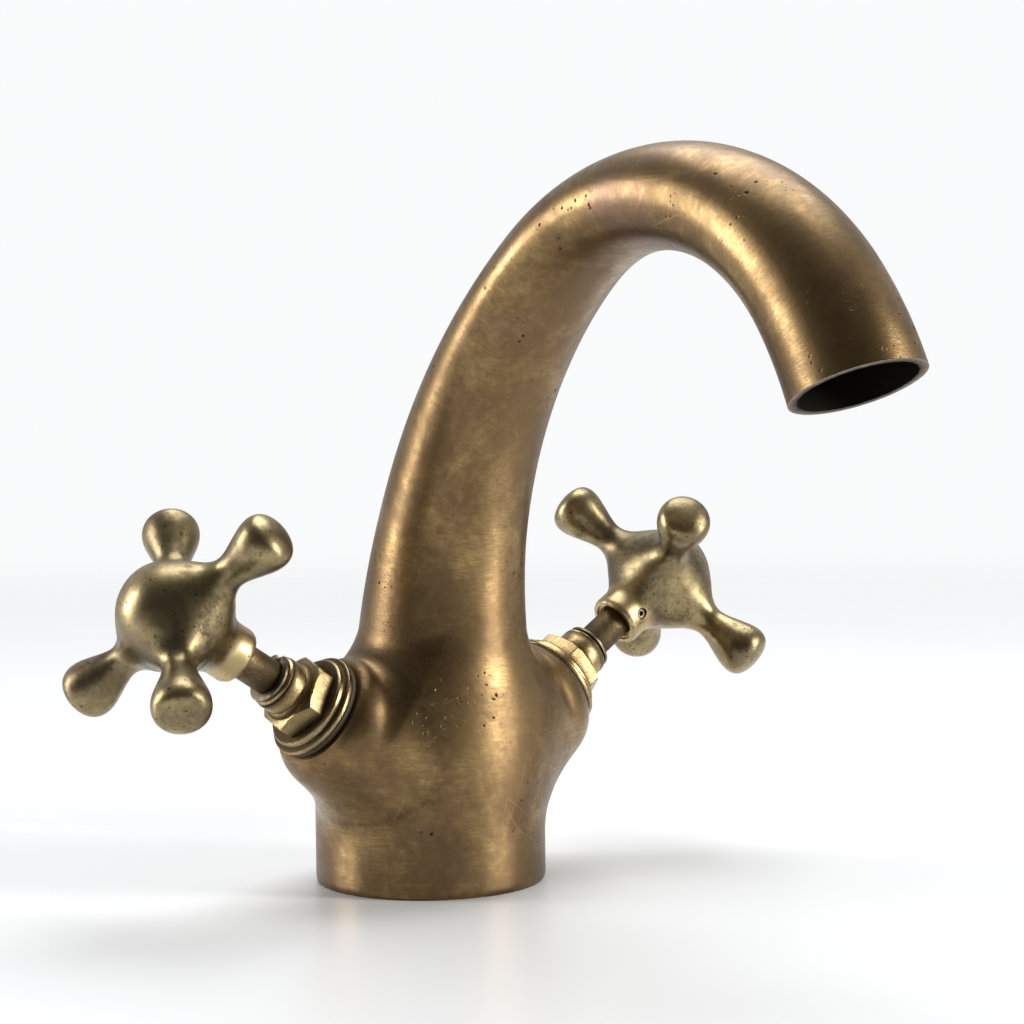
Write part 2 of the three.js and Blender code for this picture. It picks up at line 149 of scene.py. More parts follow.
class MixerStudio(bpy.types.PropertyGroup):
    lens: bpy.props.FloatProperty(
        name="Lens", description="Camera focal length in millimetres",
        default=84.8, min=20, unit="CAMERA")
    camera_place: bpy.props.FloatVectorProperty(
        name="Camera place", description="Where the camera stands",
        default=(-0.310, -0.4204, 0.1065), size=3, unit="LENGTH")
    camera_turn: bpy.props.FloatVectorProperty(
        name="Camera turn", description="Heading, tilt and roll of the camera",
        default=(math.radians(-38.44), math.radians(-2.95), math.radians(-0.66)),
        size=3, subtype="EULER")
    floor_radius: bpy.props.FloatProperty(
        name="Floor radius", description="Radius of the pale floor",
        default=3.0, min=0.5, unit="LENGTH")


GROUPS = {
    "mixer_casting": MixerCasting,
    "mixer_valve": MixerValve,
    "mixer_handle": MixerHandle,
    "mixer_finish": MixerFinish,
    "mixer_studio": MixerStudio,
}


# ---- outlines -------------------------------------------------------------------------------

def in_metres(pairs):
    return [(along * MM, radius * MM) for along, radius in pairs]


BASE_TOP = 15 * MM                # the plain round base ends here
LOW_SPOUT = 16 * MM               # distance along the spout where it is clear of the base
SPOUT_START = (-6.5 * MM, 30 * MM, math.radians(-9))      # y, z and heading
# Radius and turn of each arc of the spout, from the base to the mouth.
SPOUT_ARCS = [(107.7 * MM, math.radians(61)), (50.7 * MM, math.radians(92.2)),
              (77.2 * MM, math.radians(13.2))]
HALF_WIDTHS = [20, 15.8, 14.6, 12.9, 12.8]      # across the spout, at quarters, in mm
HALF_DEPTHS = [20, 15, 9.6, 10.6, 12.8]         # in the plane of its bend, in mm
OVERRUN = 4 * MM                  # the casting is made too long here and is cut to length
BASE_STEP, SPOUT_STEP, SWING_ROWS = 0.3 * MM, 0.4 * MM, 80      # how close the sections lie
FOOT_RISE = 1.75                  # height of the foot's rounding, for its depth of 1
PART_SIZE = 4000                  # points measured at a time, to spare memory
TINY = 1e-9                       # keeps a division away from zero

BOSS_FACE = 36.6 * MM
BOSS_OUTLINE = in_metres([
    (-4, 18.5), (10, 17.8), (20, 16.4), (27, 15.4), (32, 14.6), (34.8, 13.5), (36.6, 12.2),
    (38.4, 11.5), (41, 11.3),
])
HUB_OUTLINE = in_metres([
    (60.2, 5.8), (61.2, 6.1), (65, 6.1), (68, 6.7), (71.5, 7.9), (75.5, 8.6), (80.6, 8.6),
    (84, 7.9), (86.8, 6.1), (88.4, 3.6), (89, 0),
])
ARM_OUTLINE = in_metres([
    (2, 6), (6, 5.2), (9, 4.5), (12, 3.6), (15, 3.3), (18, 3.9), (21, 4.9), (24, 5.8),
    (26.4, 5.9), (28.2, 5), (29.3, 2.8), (29.6, 0),
])


def through(values, where):
    """Smooth curve through evenly spaced values, read at places from 0 to 1."""
    values = np.asarray(values, float)
    last = len(values) - 1
    place = np.clip(where, 0, 1) * last
    low = np.clip(place.astype(int), 0, last - 1)
    t = place - low
    before = values[np.maximum(low - 1, 0)]
    start = values[low]
    end = values[low + 1]
    after = values[np.minimum(low + 2, last)]
    slope_start = (end - before) / 2
    slope_end = (after - start) / 2
    return ((2 * t**3 - 3 * t**2 + 1) * start + (t**3 - 2 * t**2 + t) * slope_start
            + (-2 * t**3 + 3 * t**2) * end + (t**3 - t**2) * slope_end)


def softened(outline, per_span=7):
    """The outline as a smooth curve through its points."""
    points = np.array(outline)
    count = (len(points) - 1) * per_span + 1
    where = np.linspace(0, 1, count)
    return np.column_stack([through(points[:, 0], where), through(points[:, 1], where)])


def spout_point(distance):
    """Centre (y, z) and heading of the spout at a distance along it."""
    y, z, heading = SPOUT_START
    left = distance
    for number, (radius, turn) in enumerate(SPOUT_ARCS):
        last = number == len(SPOUT_ARCS) - 1
        step = left / radius if last else min(left / radius, turn)
        y -= radius * (math.cos(heading) - math.cos(heading + step))
        z += radius * (math.sin(heading + step) - math.sin(heading))
        heading += step
        left -= step * radius
        if left <= 0:
            break
    return y, z, heading


class Column:
    """Base and spout as one row of sections: centre, heading, half width and half depth."""

    def __init__(self, base_radius, foot_round):
        length = sum(radius * turn for radius, turn in SPOUT_ARCS)
        base = [(0, z, 0) for z in np.arange(-OVERRUN, BASE_TOP, BASE_STEP)]
        target = np.array(spout_point(LOW_SPOUT))
        share = np.linspace(0, 1, SWING_ROWS)[:-1]
        ease = share * share * (3 - 2 * share)
        swing = np.column_stack([
            ease * target[0], BASE_TOP + share * (target[1] - BASE_TOP), ease * target[2]])
        distances = np.arange(LOW_SPOUT, length + OVERRUN, SPOUT_STEP)
        spout = [spout_point(distance) for distance in distances]
        self.rows = np.vstack([base, swing, spout])
        along_spout = distances / length
        foot = np.clip(np.array(base)[:, 1] / (FOOT_RISE * foot_round), 0, 1)
        foot_radius = base_radius - foot_round * (1 - np.sqrt(1 - (1 - foot) ** 2))
        sizes = []
        for halves in (HALF_WIDTHS, HALF_DEPTHS):
            half = through(np.array(halves) * MM, along_spout)
            blend = base_radius + ease * (half[0] - base_radius)
            sizes.append(np.concatenate([foot_radius, blend, half]))
        self.width, self.depth = sizes
        steps = np.linalg.norm(np.diff(self.rows[:, :2], axis=0), axis=1)
        self.distance = np.concatenate([[0], np.cumsum(steps)])
        self.mouth = np.array(spout_point(length))
        self.mouth_distance = self.distance[-1] - (distances[-1] - length)

    def nearest(self, points):
        """Blended section values and in-plane offset at each point."""
        centres = self.rows[:, :2]
        index = np.empty(len(points), int)
        for start in range(0, len(points), PART_SIZE):
            part = slice(start, start + PART_SIZE)
            gap = ((points[part, None, 1:] - centres[None]) ** 2).sum(2)
            index[part] = gap.argmin(1)

        def ahead(i):
            heading = self.rows[i, 2]
            offset = points[:, 1:] - centres[i]
            return -offset[:, 0] * np.sin(heading) + offset[:, 1] * np.cos(heading)

        here = ahead(index)
        other = np.clip(index + np.where(here > 0, 1, -1), 0, len(centres) - 1)
        there = ahead(other)
        gap = here - there
        level = np.abs(gap) < 0.001 * TINY
        share = np.clip(np.where(level, 0, here / np.where(level, 1, gap)), 0, 1)

        def mixed(values):
            return values[index] + share * (values[other] - values[index])

        heading = mixed(self.rows[:, 2])
        centre = np.column_stack([mixed(self.rows[:, 0]), mixed(self.rows[:, 1])])
        inward = np.column_stack([np.cos(heading), np.sin(heading)])
        offset = ((points[:, 1:] - centre) * inward).sum(1)
        return mixed(self.distance), mixed(self.width), mixed(self.depth), offset, inward

    def field(self, points):
        """Signed distance to the column's skin and the way out of it."""
        _, width, depth, offset, inward = self.nearest(points)
        across = points[:, 0]
        reach = np.sqrt((across / width) ** 2 + (offset / depth) ** 2) + TINY
        slope_x = across / width**2 / reach
        slope_n = offset / depth**2 / reach
        slope = np.sqrt(slope_x**2 + slope_n**2) + TINY
        out = np.column_stack([slope_x, slope_n[:, None] * inward]) / slope[:, None]
        return (reach - 1) / slope, out


def seen_from_axis(matrix, points):
    """Distance along a frame's Z axis, radius from it, and the points in that frame."""
    matrix = np.array(matrix)
    inside = (points - matrix[:3, 3]) @ matrix[:3, :3]
    return inside[:, 2], np.hypot(inside[:, 0], inside[:, 1]), inside


class Turned:
    """A solid turned shape in a frame, from an outline of (along, radius) pairs."""

    def __init__(self, outline, matrix):
        first, last = outline[0], outline[-1]
        start = [(first[0], 0)] if first[1] > 0 else []
        end = [(last[0], 0)] if last[1] > 0 else []
        self.outline = np.array(start + [tuple(pair) for pair in outline] + end)
        self.matrix = np.array(matrix)

    def local(self, points):
        return seen_from_axis(self.matrix, points)

    def field(self, points):
        """Signed distance to the shape's skin and the way out of it."""
        along, radius, inside = self.local(points)
        start = self.outline[:-1]
        way = np.diff(self.outline, axis=0)
        here = np.column_stack([along, radius])
        best = np.full(len(points), np.inf)
        gap = np.zeros((len(points), 2))
        for first, step in zip(start, way):
            share = np.clip(((here - first) @ step) / (step @ step), 0, 1)
            away = here - (first + share[:, None] * step)
            size = np.hypot(away[:, 0], away[:, 1])
            better = size < best
            best = np.where(better, size, best)
            gap[better] = away[better]
        ends = self.outline[[0, -1], 0]
        solid = radius < np.interp(along, self.outline[:, 0], self.outline[:, 1])
        sign = np.where(solid & (along > ends[0]) & (along < ends[1]), -1, 1)
        size = np.maximum(best, TINY)
        slope = gap / size[:, None] * sign[:, None]
        around = inside[:, :2] / np.maximum(radius, TINY)[:, None]
        out = np.column_stack([around * slope[:, 1:2], slope[:, 0]]) @ self.matrix[:3, :3].T
        return best * sign, out


def merged_field(shapes, width_at, points):
    """The shapes run together with soft hollows. Also gives how deep in a hollow a point is."""
    width = width_at(points)
    value, out = shapes[0].field(points)
    hollow = np.zeros(len(points))
    for shape in shapes[1:]:
        other, other_out = shape.field(points)
        near = np.clip(1 - np.abs(value - other) / width, 0, 1)
        share = np.where(value < other, 1 - near / 2, near / 2)
        out = share[:, None] * out + (1 - share)[:, None] * other_out
        value = np.minimum(value, other) - near**2 * width / 4
        hollow = np.maximum(hollow, near)
    return value, out, hollow


# ---- modelling helpers ----------------------------------------------------------------------

DOUBLES = 0.001 * MM              # vertices closer than this are merged
LONGEST_STEP = 3 * MM             # how far a vertex may settle in one round

def deselect_all():
    """Object mode, with nothing selected."""
    if bpy.context.object and bpy.context.object.mode != "OBJECT":
        bpy.ops.object.mode_set(mode="OBJECT")
    bpy.ops.object.select_all(action="DESELECT")


def alone(obj):
    """Object mode, with only this object selected and active."""
    deselect_all()
    obj.select_set(True)
    bpy.context.view_layer.objects.active = obj
    return obj


def start_primitive(add, name, **settings):
    """Adds a primitive with nothing else selected, and names it."""
    deselect_all()
    add(**settings)
    obj = bpy.context.object
    obj.name = name
    obj.data.name = name
    return obj


def apply_modifier(obj, kind, **settings):
    alone(obj)
    modifier = obj.modifiers.new(kind.title(), kind)
    for name, value in settings.items():
        setattr(modifier, name, value)
    bpy.ops.object.modifier_apply(modifier=modifier.name)


def tidy_skin(obj):
    """Merges doubles and turns every face outwards."""
    alone(obj)
    bpy.ops.object.mode_set(mode="EDIT")
    bpy.ops.mesh.select_all(action="SELECT")
    bpy.ops.mesh.remove_doubles(threshold=DOUBLES)
    bpy.ops.mesh.normals_make_consistent(inside=False)
    bpy.ops.object.mode_set(mode="OBJECT")


def spun(name, outline, steps=96):
    """A profile of (station, radius) points drawn by extruding one vertex, then spun round Z."""
    obj = start_primitive(bpy.ops.mesh.primitive_plane_add, name, size=MM)
    bpy.ops.object.mode_set(mode="EDIT")
    bpy.ops.mesh.select_all(action="SELECT")
    bpy.ops.mesh.merge(type="CENTER")
    station, radius = outline[0]
    bpy.ops.transform.translate(value=(radius, 0, station))
    for next_station, next_radius in outline[1:]:
        move = (next_radius - radius, 0, next_station - station)
        bpy.ops.mesh.extrude_region_move(TRANSFORM_OT_translate={"value": move})
        station, radius = next_station, next_radius
    bpy.ops.mesh.select_all(action="SELECT")
    bpy.ops.mesh.spin(steps=steps, angle=2 * math.pi, center=(0, 0, 0), axis=(0, 0, 1))
    bpy.ops.object.mode_set(mode="OBJECT")
    tidy_skin(obj)
    return obj


def solid_outline(pairs):
    """Closes an outline onto the axis at both ends."""
    return [(pairs[0][0], 0)] + list(pairs) + [(pairs[-1][0], 0)]


def ring_outline(inner, outer, start, end):
    return [(start, inner), (start, outer), (end, outer), (end, inner), (start, inner)]


def rounded_edges(obj, width, segments=2, angle=30):
    apply_modifier(obj, "BEVEL", width=width, segments=segments, limit_method="ANGLE",
                   angle_limit=math.radians(angle), harden_normals=False)


def placed(obj, matrix):
    """Puts the object in a frame and writes that place into its mesh."""
    alone(obj)
    obj.matrix_world = matrix
    bpy.ops.object.transform_apply(location=True, rotation=True, scale=True)
    return obj


def tube(name, centres, radii):
    """A round tube along points, as a curve with a bevel made into a mesh."""
    curve = bpy.data.curves.new(name, "CURVE")
    curve.dimensions = "3D"
    curve.bevel_depth = 1
    curve.bevel_resolution = 10
    curve.use_fill_caps = True
    spline = curve.splines.new("POLY")
    spline.points.add(len(centres) - 1)
    for point, centre, radius in zip(spline.points, centres, radii):
        point.co = (*centre, 1)
        point.radius = radius
    obj = bpy.data.objects.new(name, curve)
    bpy.context.scene.collection.objects.link(obj)
    alone(obj)
    bpy.ops.object.convert(target="MESH")
    obj = bpy.context.object
    tidy_skin(obj)
    return obj


def join(first, others):
    alone(first)
    for obj in others:
        obj.select_set(True)
    bpy.context.view_layer.objects.active = first
    bpy.ops.object.join()
    return first


def combine(obj, tools, operation):
    """Boolean with each tool in turn; the tools are used up."""
    for tool in tools:
        apply_modifier(obj, "BOOLEAN", operation=operation, object=tool, solver="MANIFOLD")
        bpy.data.objects.remove(tool)
    if len(obj.data.vertices) < 8:
        raise RuntimeError(f"{obj.name} vanished in a boolean")


def vertex_places(obj):
    places = np.empty(len(obj.data.vertices) * 3)
    obj.data.vertices.foreach_get("co", places)
    return places.reshape(-1, 3)


def move_vertices(obj, places):
    obj.data.vertices.foreach_set("co", places.ravel())
    obj.data.update()


def settle(obj, shapes, width_at, rounds=4):
    """Moves each vertex onto the skin that the merged shapes describe."""
    places = vertex_places(obj)
    for _ in range(rounds):
        value, out, _ = merged_field(shapes, width_at, places)
        size = np.maximum((out**2).sum(1), 0.2)
        step = np.clip(value, -LONGEST_STEP, LONGEST_STEP) / size
        places -= step[:, None] * out
    move_vertices(obj, places)


def store(obj, name, values):
    """Saves one number for each vertex, for the materials to read."""
    attribute = obj.data.attributes.new(name, "FLOAT", "POINT")
    attribute.data.foreach_set("value", np.asarray(values, np.float32))


def shade(obj, angle=35):
    alone(obj)
    bpy.ops.object.shade_smooth_by_angle(angle=math.radians(angle))


def finish_named(name):
    return bpy.data.materials["mixer_" + name]


def finish_piece(obj, body, slot, *nodes):
    obj.data.materials.clear()
    obj.data.materials.append(finish_named(slot))
    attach(obj, body)
    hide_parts(*nodes)


def valve_frame(label):
    """Frame of one valve, from its handle's joint."""
    joint = next(j for j in frame["joints"] if j["name"] == f"handle_{label}_turn")
    axis = Vector(joint["axis"]).normalized()
    place = Vector(joint["pos_m"])
    origin = place - axis * (place.x / axis.x)
    turn = Vector((0, 0, 1)).rotation_difference(axis).to_matrix().to_4x4()
    return Matrix.Translation(origin) @ turn


# ---- shader groups --------------------------------------------------------------------------

class Nodes:
    """Short words for building a node tree."""

    def __init__(self, tree):
        self.tree = tree
        tree.nodes.clear()

    def add(self, kind, **settings):
        node = self.tree.nodes.new(kind)
        for name, value in settings.items():
            setattr(node, name, value)
        return node

    def link(self, start, end):
        self.tree.links.new(start, end)

    def fed(self, kind, inputs, **settings):
        """Adds a node, links or sets its inputs by name or number, and gives its outputs."""
        node = self.add(kind, **settings)
        for socket, value in inputs.items():
            if isinstance(value, bpy.types.NodeSocket):
                self.link(value, node.inputs[socket])
            else:
                node.inputs[socket].default_value = value
        return node.outputs

    def math(self, operation, first, second, clamp=False):
        return self.fed("ShaderNodeMath", {0: first, 1: second}, operation=operation,
                        use_clamp=clamp)[0]

    def times(self, first, second, clamp=False):
        return self.math("MULTIPLY", first, second, clamp)

    def plus(self, first, second, clamp=False):
        return self.math("ADD", first, second, clamp)

    def vector_math(self, operation, *vectors):
        return self.fed("ShaderNodeVectorMath", dict(enumerate(vectors)), operation=operation)

    def noise(self, vector, scale, detail=3.0, roughness=0.55, distortion=0.0, output="Fac"):
        return self.fed("ShaderNodeTexNoise", {
            "Vector": vector, "Scale": scale, "Detail": detail, "Roughness": roughness,
            "Distortion": distortion})[output]

    def cells(self, vector, scale, feature):
        return self.fed("ShaderNodeTexVoronoi", {"Vector": vector, "Scale": scale},
                        feature=feature)

    def ramp(self, value, low, high, bottom=0.0, top=1.0):
        return self.fed("ShaderNodeMapRange", {
            "Value": value, "From Min": low, "From Max": high, "To Min": bottom,
            "To Max": top}, interpolation_type="SMOOTHSTEP")["Result"]

    def mix(self, share, first, second):
        return self.fed("ShaderNodeMix", {0: share, 6: first, 7: second}, data_type="RGBA")[2]

    def attribute(self, name):
        return self.fed("ShaderNodeAttribute", {}, attribute_name=name)["Fac"]

    def place(self):
        return self.fed("ShaderNodeTexCoord", {})["Object"]

    def bump(self, height, strength, distance, before=None):
        inputs = {"Strength": strength, "Distance": distance, "Height": height}
        if before is not None:
            inputs["Normal"] = before
        return self.fed("ShaderNodeBump", inputs)["Normal"]

    def flow(self, along, around):
        """Stretched coordinates from the piece's stored flow: along it, and round it."""
        amounts = {"flow_along": along, "flow_cos": around, "flow_sin": around}
        parts = [self.times(self.attribute(name), amount) for name, amount in amounts.items()]
        return self.fed("ShaderNodeCombineXYZ", dict(enumerate(parts)))[0]


def new_group(name, inputs, outputs):
    """A node group's empty tree, and the sockets of its input and output nodes."""
    group = bpy.data.node_groups.new(name, "ShaderNodeTree")
    nodes = Nodes(group)
    for socket, kind, value in inputs:
        made = group.interface.new_socket(name=socket, in_out="INPUT", socket_type=kind)
        if value is not None:
            made.default_value = value
    for socket, kind in outputs:
        group.interface.new_socket(name=socket, in_out="OUTPUT", socket_type=kind)
    return nodes, nodes.add("NodeGroupInput").outputs, nodes.add("NodeGroupOutput").inputs


def use_group(nodes, name, **values):
    """Places a group; its inputs are given by name, with _ for a space."""
    inputs = {key.replace("_", " "): value for key, value in values.items()}
    return nodes.fed("ShaderNodeGroup", inputs, node_tree=bpy.data.node_groups[name])


FLOAT, VECTOR, COLOUR = "NodeSocketFloat", "NodeSocketVector", "NodeSocketColor"


def build_patina_group():
    """Clouded patina: clean metal, brown film, stains, and dark grime where a mask says; on
    turned pieces that mask is painted groove shade.
    """
    nodes, given, result = new_group("Patina", [
        ("Vector", VECTOR, None), ("Clean", COLOUR, None), ("Film", COLOUR, None),
        ("Stain", COLOUR, None), ("Grime", COLOUR, None), ("Scale", FLOAT, 60.0),
        ("Film Amount", FLOAT, 0.5), ("Grime Mask", FLOAT, 0.0)],
        [("Color", COLOUR), ("Film Mask", FLOAT), ("Grime Mask", FLOAT)])
    cloud = nodes.noise(given["Vector"], given["Scale"], 6, 0.62, 0.4)
    fine = nodes.noise(given["Vector"], nodes.times(given["Scale"], 9.0), 5, 0.7)
    blot = nodes.plus(nodes.times(cloud, 0.72),
                      nodes.times(fine, 0.28))
    low = nodes.math("SUBTRACT", 0.80, given["Film Amount"])
    high = nodes.plus(low, 0.30)
    film = nodes.ramp(blot, low, high)
    wide = nodes.noise(given["Vector"], nodes.times(given["Scale"], 0.45), 4, 0.6, 0.8)
    stain = nodes.ramp(wide, 0.50, 0.64, 0.0, 0.85)
    speck = nodes.noise(given["Vector"], nodes.times(given["Scale"], 22.0), 3, 0.7)
    ragged = nodes.plus(given["Grime Mask"], nodes.math("SUBTRACT", speck, 0.5))
    grime_and_shade = nodes.times(nodes.ramp(ragged, 0.25, 0.85), given["Grime Mask"], True)
    colour = nodes.mix(film, given["Clean"], given["Film"])
    colour = nodes.mix(stain, colour, given["Stain"])
    colour = nodes.mix(grime_and_shade, colour, given["Grime"])
    nodes.link(colour, result["Color"])
    nodes.link(film, result["Film Mask"])
    nodes.link(grime_and_shade, result["Grime Mask"])


def build_brushing_group():
    """Fine hairlines: the vector comes stretched, so that noise draws long lines."""
    nodes, given, result = new_group("Brushing", [
        ("Vector", VECTOR, None), ("Lines", FLOAT, 1.0)],
        [("Height", FLOAT), ("Shade", FLOAT)])
    broad = nodes.noise(given["Vector"], given["Lines"], 4, 0.6)
    fine = nodes.noise(given["Vector"], nodes.times(given["Lines"], 3.7), 2, 0.5)
    both = nodes.plus(nodes.times(broad, 0.6), nodes.times(fine, 0.4))
    nodes.link(both, result["Height"])
    nodes.link(nodes.ramp(both, 0.36, 0.64), result["Shade"])


def build_pits_group():
    """Small dark casting pits that gather in clusters."""
    nodes, given, result = new_group("Pits", [
        ("Vector", VECTOR, None), ("Scale", FLOAT, 420.0), ("Size", FLOAT, 0.16),
        ("Cover", FLOAT, 0.5)],
        [("Mask", FLOAT), ("Height", FLOAT)])
    wobble = nodes.noise(given["Vector"], 1300.0, 2.0, 0.5, output="Color")
    wobble = nodes.vector_math("MULTIPLY", wobble, (0.9 * MM, 0.9 * MM, 0.9 * MM))[0]
    bent = nodes.vector_math("ADD", given["Vector"], wobble)[0]
    cells = nodes.cells(bent, given["Scale"], "F1")
    chance = nodes.fed("ShaderNodeSeparateColor", {0: cells["Color"]})
    reach = nodes.times(given["Size"], nodes.plus(chance[0], 0.35))
    hole = nodes.ramp(cells["Distance"], nodes.times(reach, 0.45), reach, 1.0, 0.0)
    cluster = nodes.noise(given["Vector"], 48.0, 3, 0.6)
    low = nodes.math("SUBTRACT", 0.92, nodes.times(given["Cover"], 0.5))
    allowed = nodes.ramp(cluster, low, nodes.plus(low, 0.06))
    rare = nodes.math("GREATER_THAN", chance[1], 0.42)
    mask = nodes.times(nodes.times(hole, allowed), rare)
    nodes.link(mask, result["Mask"])
    nodes.link(nodes.math("SUBTRACT", 1.0, mask), result["Height"])


def build_scratch_group():
    """A few long crossing scratches."""
    nodes, given, result = new_group("Scratches", [
        ("Vector", VECTOR, None), ("Scale", FLOAT, 90.0)], [("Mask", FLOAT)])
    patchy = nodes.ramp(nodes.noise(given["Vector"], 45.0), 0.5, 0.62)
    lines = []
    for turn in ((0.4, 0.2, 0.9), (-0.7, 0.5, 0.3)):
        turned = nodes.fed("ShaderNodeMapping", {
            "Vector": given["Vector"], "Rotation": turn, "Scale": (1.0, 0.06, 1.0)})[0]
        edge = nodes.cells(turned, given["Scale"], "DISTANCE_TO_EDGE")["Distance"]
        lines.append(nodes.times(nodes.ramp(edge, 0.0, 0.012, 1.0, 0.0), patchy))
    nodes.link(nodes.math("MAXIMUM", *lines), result["Mask"])


# ---- materials ------------------------------------------------------------------------------

WATERWAY_BLACK = (0.018, 0.016, 0.012, 1.0)


def opaque(colour):
    return (*colour, 1.0)


def shell(name, metallic=1.0):
    """A new material with its shader; gives the material, its nodes and the shader's inputs."""
    material = bpy.data.materials.new("mixer_" + name)
    material.use_nodes = True
    nodes = Nodes(material.node_tree)
    shader = nodes.add("ShaderNodeBsdfPrincipled")
    output = nodes.add("ShaderNodeOutputMaterial")
    nodes.link(shader.outputs[0], output.inputs[0])
    shader.inputs["Metallic"].default_value = metallic
    return material, nodes, shader.inputs


def surface(nodes, inputs, colour, roughness, normal):
    """Links what changes over the surface to the shader."""
    nodes.link(colour, inputs["Base Color"])
    nodes.link(roughness, inputs["Roughness"])
    nodes.link(normal, inputs["Normal"])


def casting_brass(finish):
    """Aged, circumferentially brushed brass with stains, pits and a black waterway."""
    _, nodes, inputs = shell("aged_brass")
    place = nodes.place()
    hollow = nodes.attribute("hollow")
    inside = nodes.attribute("inside")
    patina = use_group(
        nodes, "Patina", Vector=place, Clean=opaque(finish.gold), Film=opaque(finish.brown),
        Stain=opaque(finish.plum), Grime=opaque(finish.soot_and_shade), Scale=36.0, Film_Amount=0.51,
        Grime_Mask=nodes.times(hollow, 0.62))
    lines = use_group(nodes, "Brushing", Vector=nodes.flow(2600.0, 5.0))
    pits = use_group(nodes, "Pits", Vector=place, Scale=780.0, Size=0.30, Cover=0.71)
    scratches = use_group(nodes, "Scratches", Vector=place, Scale=75.0)
    shade_lines = nodes.ramp(lines["Shade"], 0.0, 1.0, 0.0, 0.52)
    colour = nodes.mix(shade_lines, patina["Color"], opaque(finish.brown))
    colour = nodes.mix(nodes.times(scratches["Mask"], 0.25), colour,
                       opaque(finish.gold))
    colour = nodes.mix(nodes.times(pits["Mask"], 0.9), colour, opaque(finish.soot_and_shade))
    colour = nodes.mix(inside, colour, WATERWAY_BLACK)
    rough = nodes.ramp(patina["Film Mask"], 0.0, 1.0, 0.24, 0.35)
    rough = nodes.plus(rough, nodes.times(lines["Shade"], 0.07))
    rough = nodes.plus(rough, nodes.times(pits["Mask"], 0.4))
    rough = nodes.plus(rough, nodes.times(inside, 0.3), True)
    normal = nodes.bump(nodes.noise(place, 160.0, 3), 0.35, 0.18 * MM)
    normal = nodes.bump(lines["Height"], 0.45, 0.07 * MM, normal)
    normal = nodes.bump(pits["Height"], 0.45, 0.15 * MM, normal)
    surface(nodes, inputs, colour, rough, normal)


def handle_brass(finish):
    """Cast handle brass: dark speckled patina in the hollows, a painted highlight in pale brass
    on the ball ends, and pale wear on the top and the collar.
    """
    _, nodes, inputs = shell("handle_brass")
    place = nodes.place()
    hollow = nodes.attribute("hollow")
    wear_and_highlight = nodes.attribute("wear_and_highlight")
    blotch = nodes.ramp(nodes.noise(place, 130.0, 6, 0.78, 0.3), 0.42, 0.68, 0.0, 0.52)
    grime_and_shade = nodes.plus(nodes.times(hollow, 0.30), blotch, True)
    patina = use_group(
        nodes, "Patina", Vector=place, Clean=opaque(finish.olive), Film=opaque(finish.umber),
        Stain=opaque(finish.umber), Grime=opaque(finish.soot_and_shade), Scale=100.0, Film_Amount=0.46,
        Grime_Mask=grime_and_shade)
    pits = use_group(nodes, "Pits", Vector=place, Scale=900.0, Size=0.30, Cover=1.0)
    # Pale brass mixed in: a painted highlight on the ball ends, wear on the top and the collar.
    colour = nodes.mix(nodes.times(wear_and_highlight, 0.25), patina["Color"], opaque(finish.bare))
    colour = nodes.mix(nodes.times(pits["Mask"], 0.7), colour, opaque(finish.soot_and_shade))
    rough = nodes.ramp(patina["Grime Mask"], 0.0, 1.0, 0.31, 0.55)
    rough = nodes.plus(rough, nodes.times(patina["Film Mask"], 0.06), True)
    normal = nodes.bump(nodes.noise(place, 420.0, 4), 0.4, 0.16 * MM)
    normal = nodes.bump(nodes.noise(place, 1700.0, 4, 0.7), 0.45, 0.06 * MM, normal)
    surface(nodes, inputs, colour, rough, normal)


def worked_brass(name, finish, clean, along, around, film=0.36, roughness=0.24):
    """Turned or filed brass with lathe lines and dark painted shade in its grooves."""
    _, nodes, inputs = shell(name)
    # The stored groove mask paints dark shade at the grooves and joints.
    patina = use_group(
        nodes, "Patina", Vector=nodes.place(), Clean=opaque(clean), Film=opaque(finish.brown),
        Stain=opaque(finish.olive), Grime=opaque(finish.soot_and_shade), Scale=150.0, Film_Amount=film,
        Grime_Mask=nodes.attribute("grime_and_shade"))
    lines = use_group(nodes, "Brushing", Vector=nodes.flow(along, around))
    colour = nodes.mix(nodes.ramp(lines["Shade"], 0.0, 1.0, 0.0, 0.38), patina["Color"],
                       opaque(finish.brown))
    rough = nodes.plus(nodes.ramp(patina["Grime Mask"], 0.0, 1.0, roughness, 0.6),
                       nodes.times(lines["Shade"], 0.10), True)
    surface(nodes, inputs, colour, rough, nodes.bump(lines["Height"], 0.55, 0.08 * MM))


# Mottles: metallic, cloud detail and roughness, brightness of the spots, where the spots
# start and are full, how much rougher they are, and how high they stand.
METAL_MOTTLE = (1.0, 5, 0.65, 0.45, (0.35, 0.75), 0.2, 0.3)
SOFT_MOTTLE = (0.0, 6, 0.7, 1.8, (0.4, 0.7), 0.1, 0.4)


def mottled(name, colour, roughness, spots, mottle):
    """Stuff of the small and hidden pieces: a machined cloud on metal, a dull one on rubber."""
    metallic, detail, grain, brightness, span, rougher, relief = mottle
    _, nodes, inputs = shell(name, metallic)
    cloud = nodes.noise(nodes.place(), spots, detail, grain)
    spot_colour = opaque(tuple(part * brightness for part in colour))
    surface(nodes, inputs, nodes.mix(nodes.ramp(cloud, *span), opaque(colour), spot_colour),
            nodes.ramp(cloud, 0.3, 0.8, roughness, roughness + rougher),
            nodes.bump(cloud, relief, 0.05 * MM))


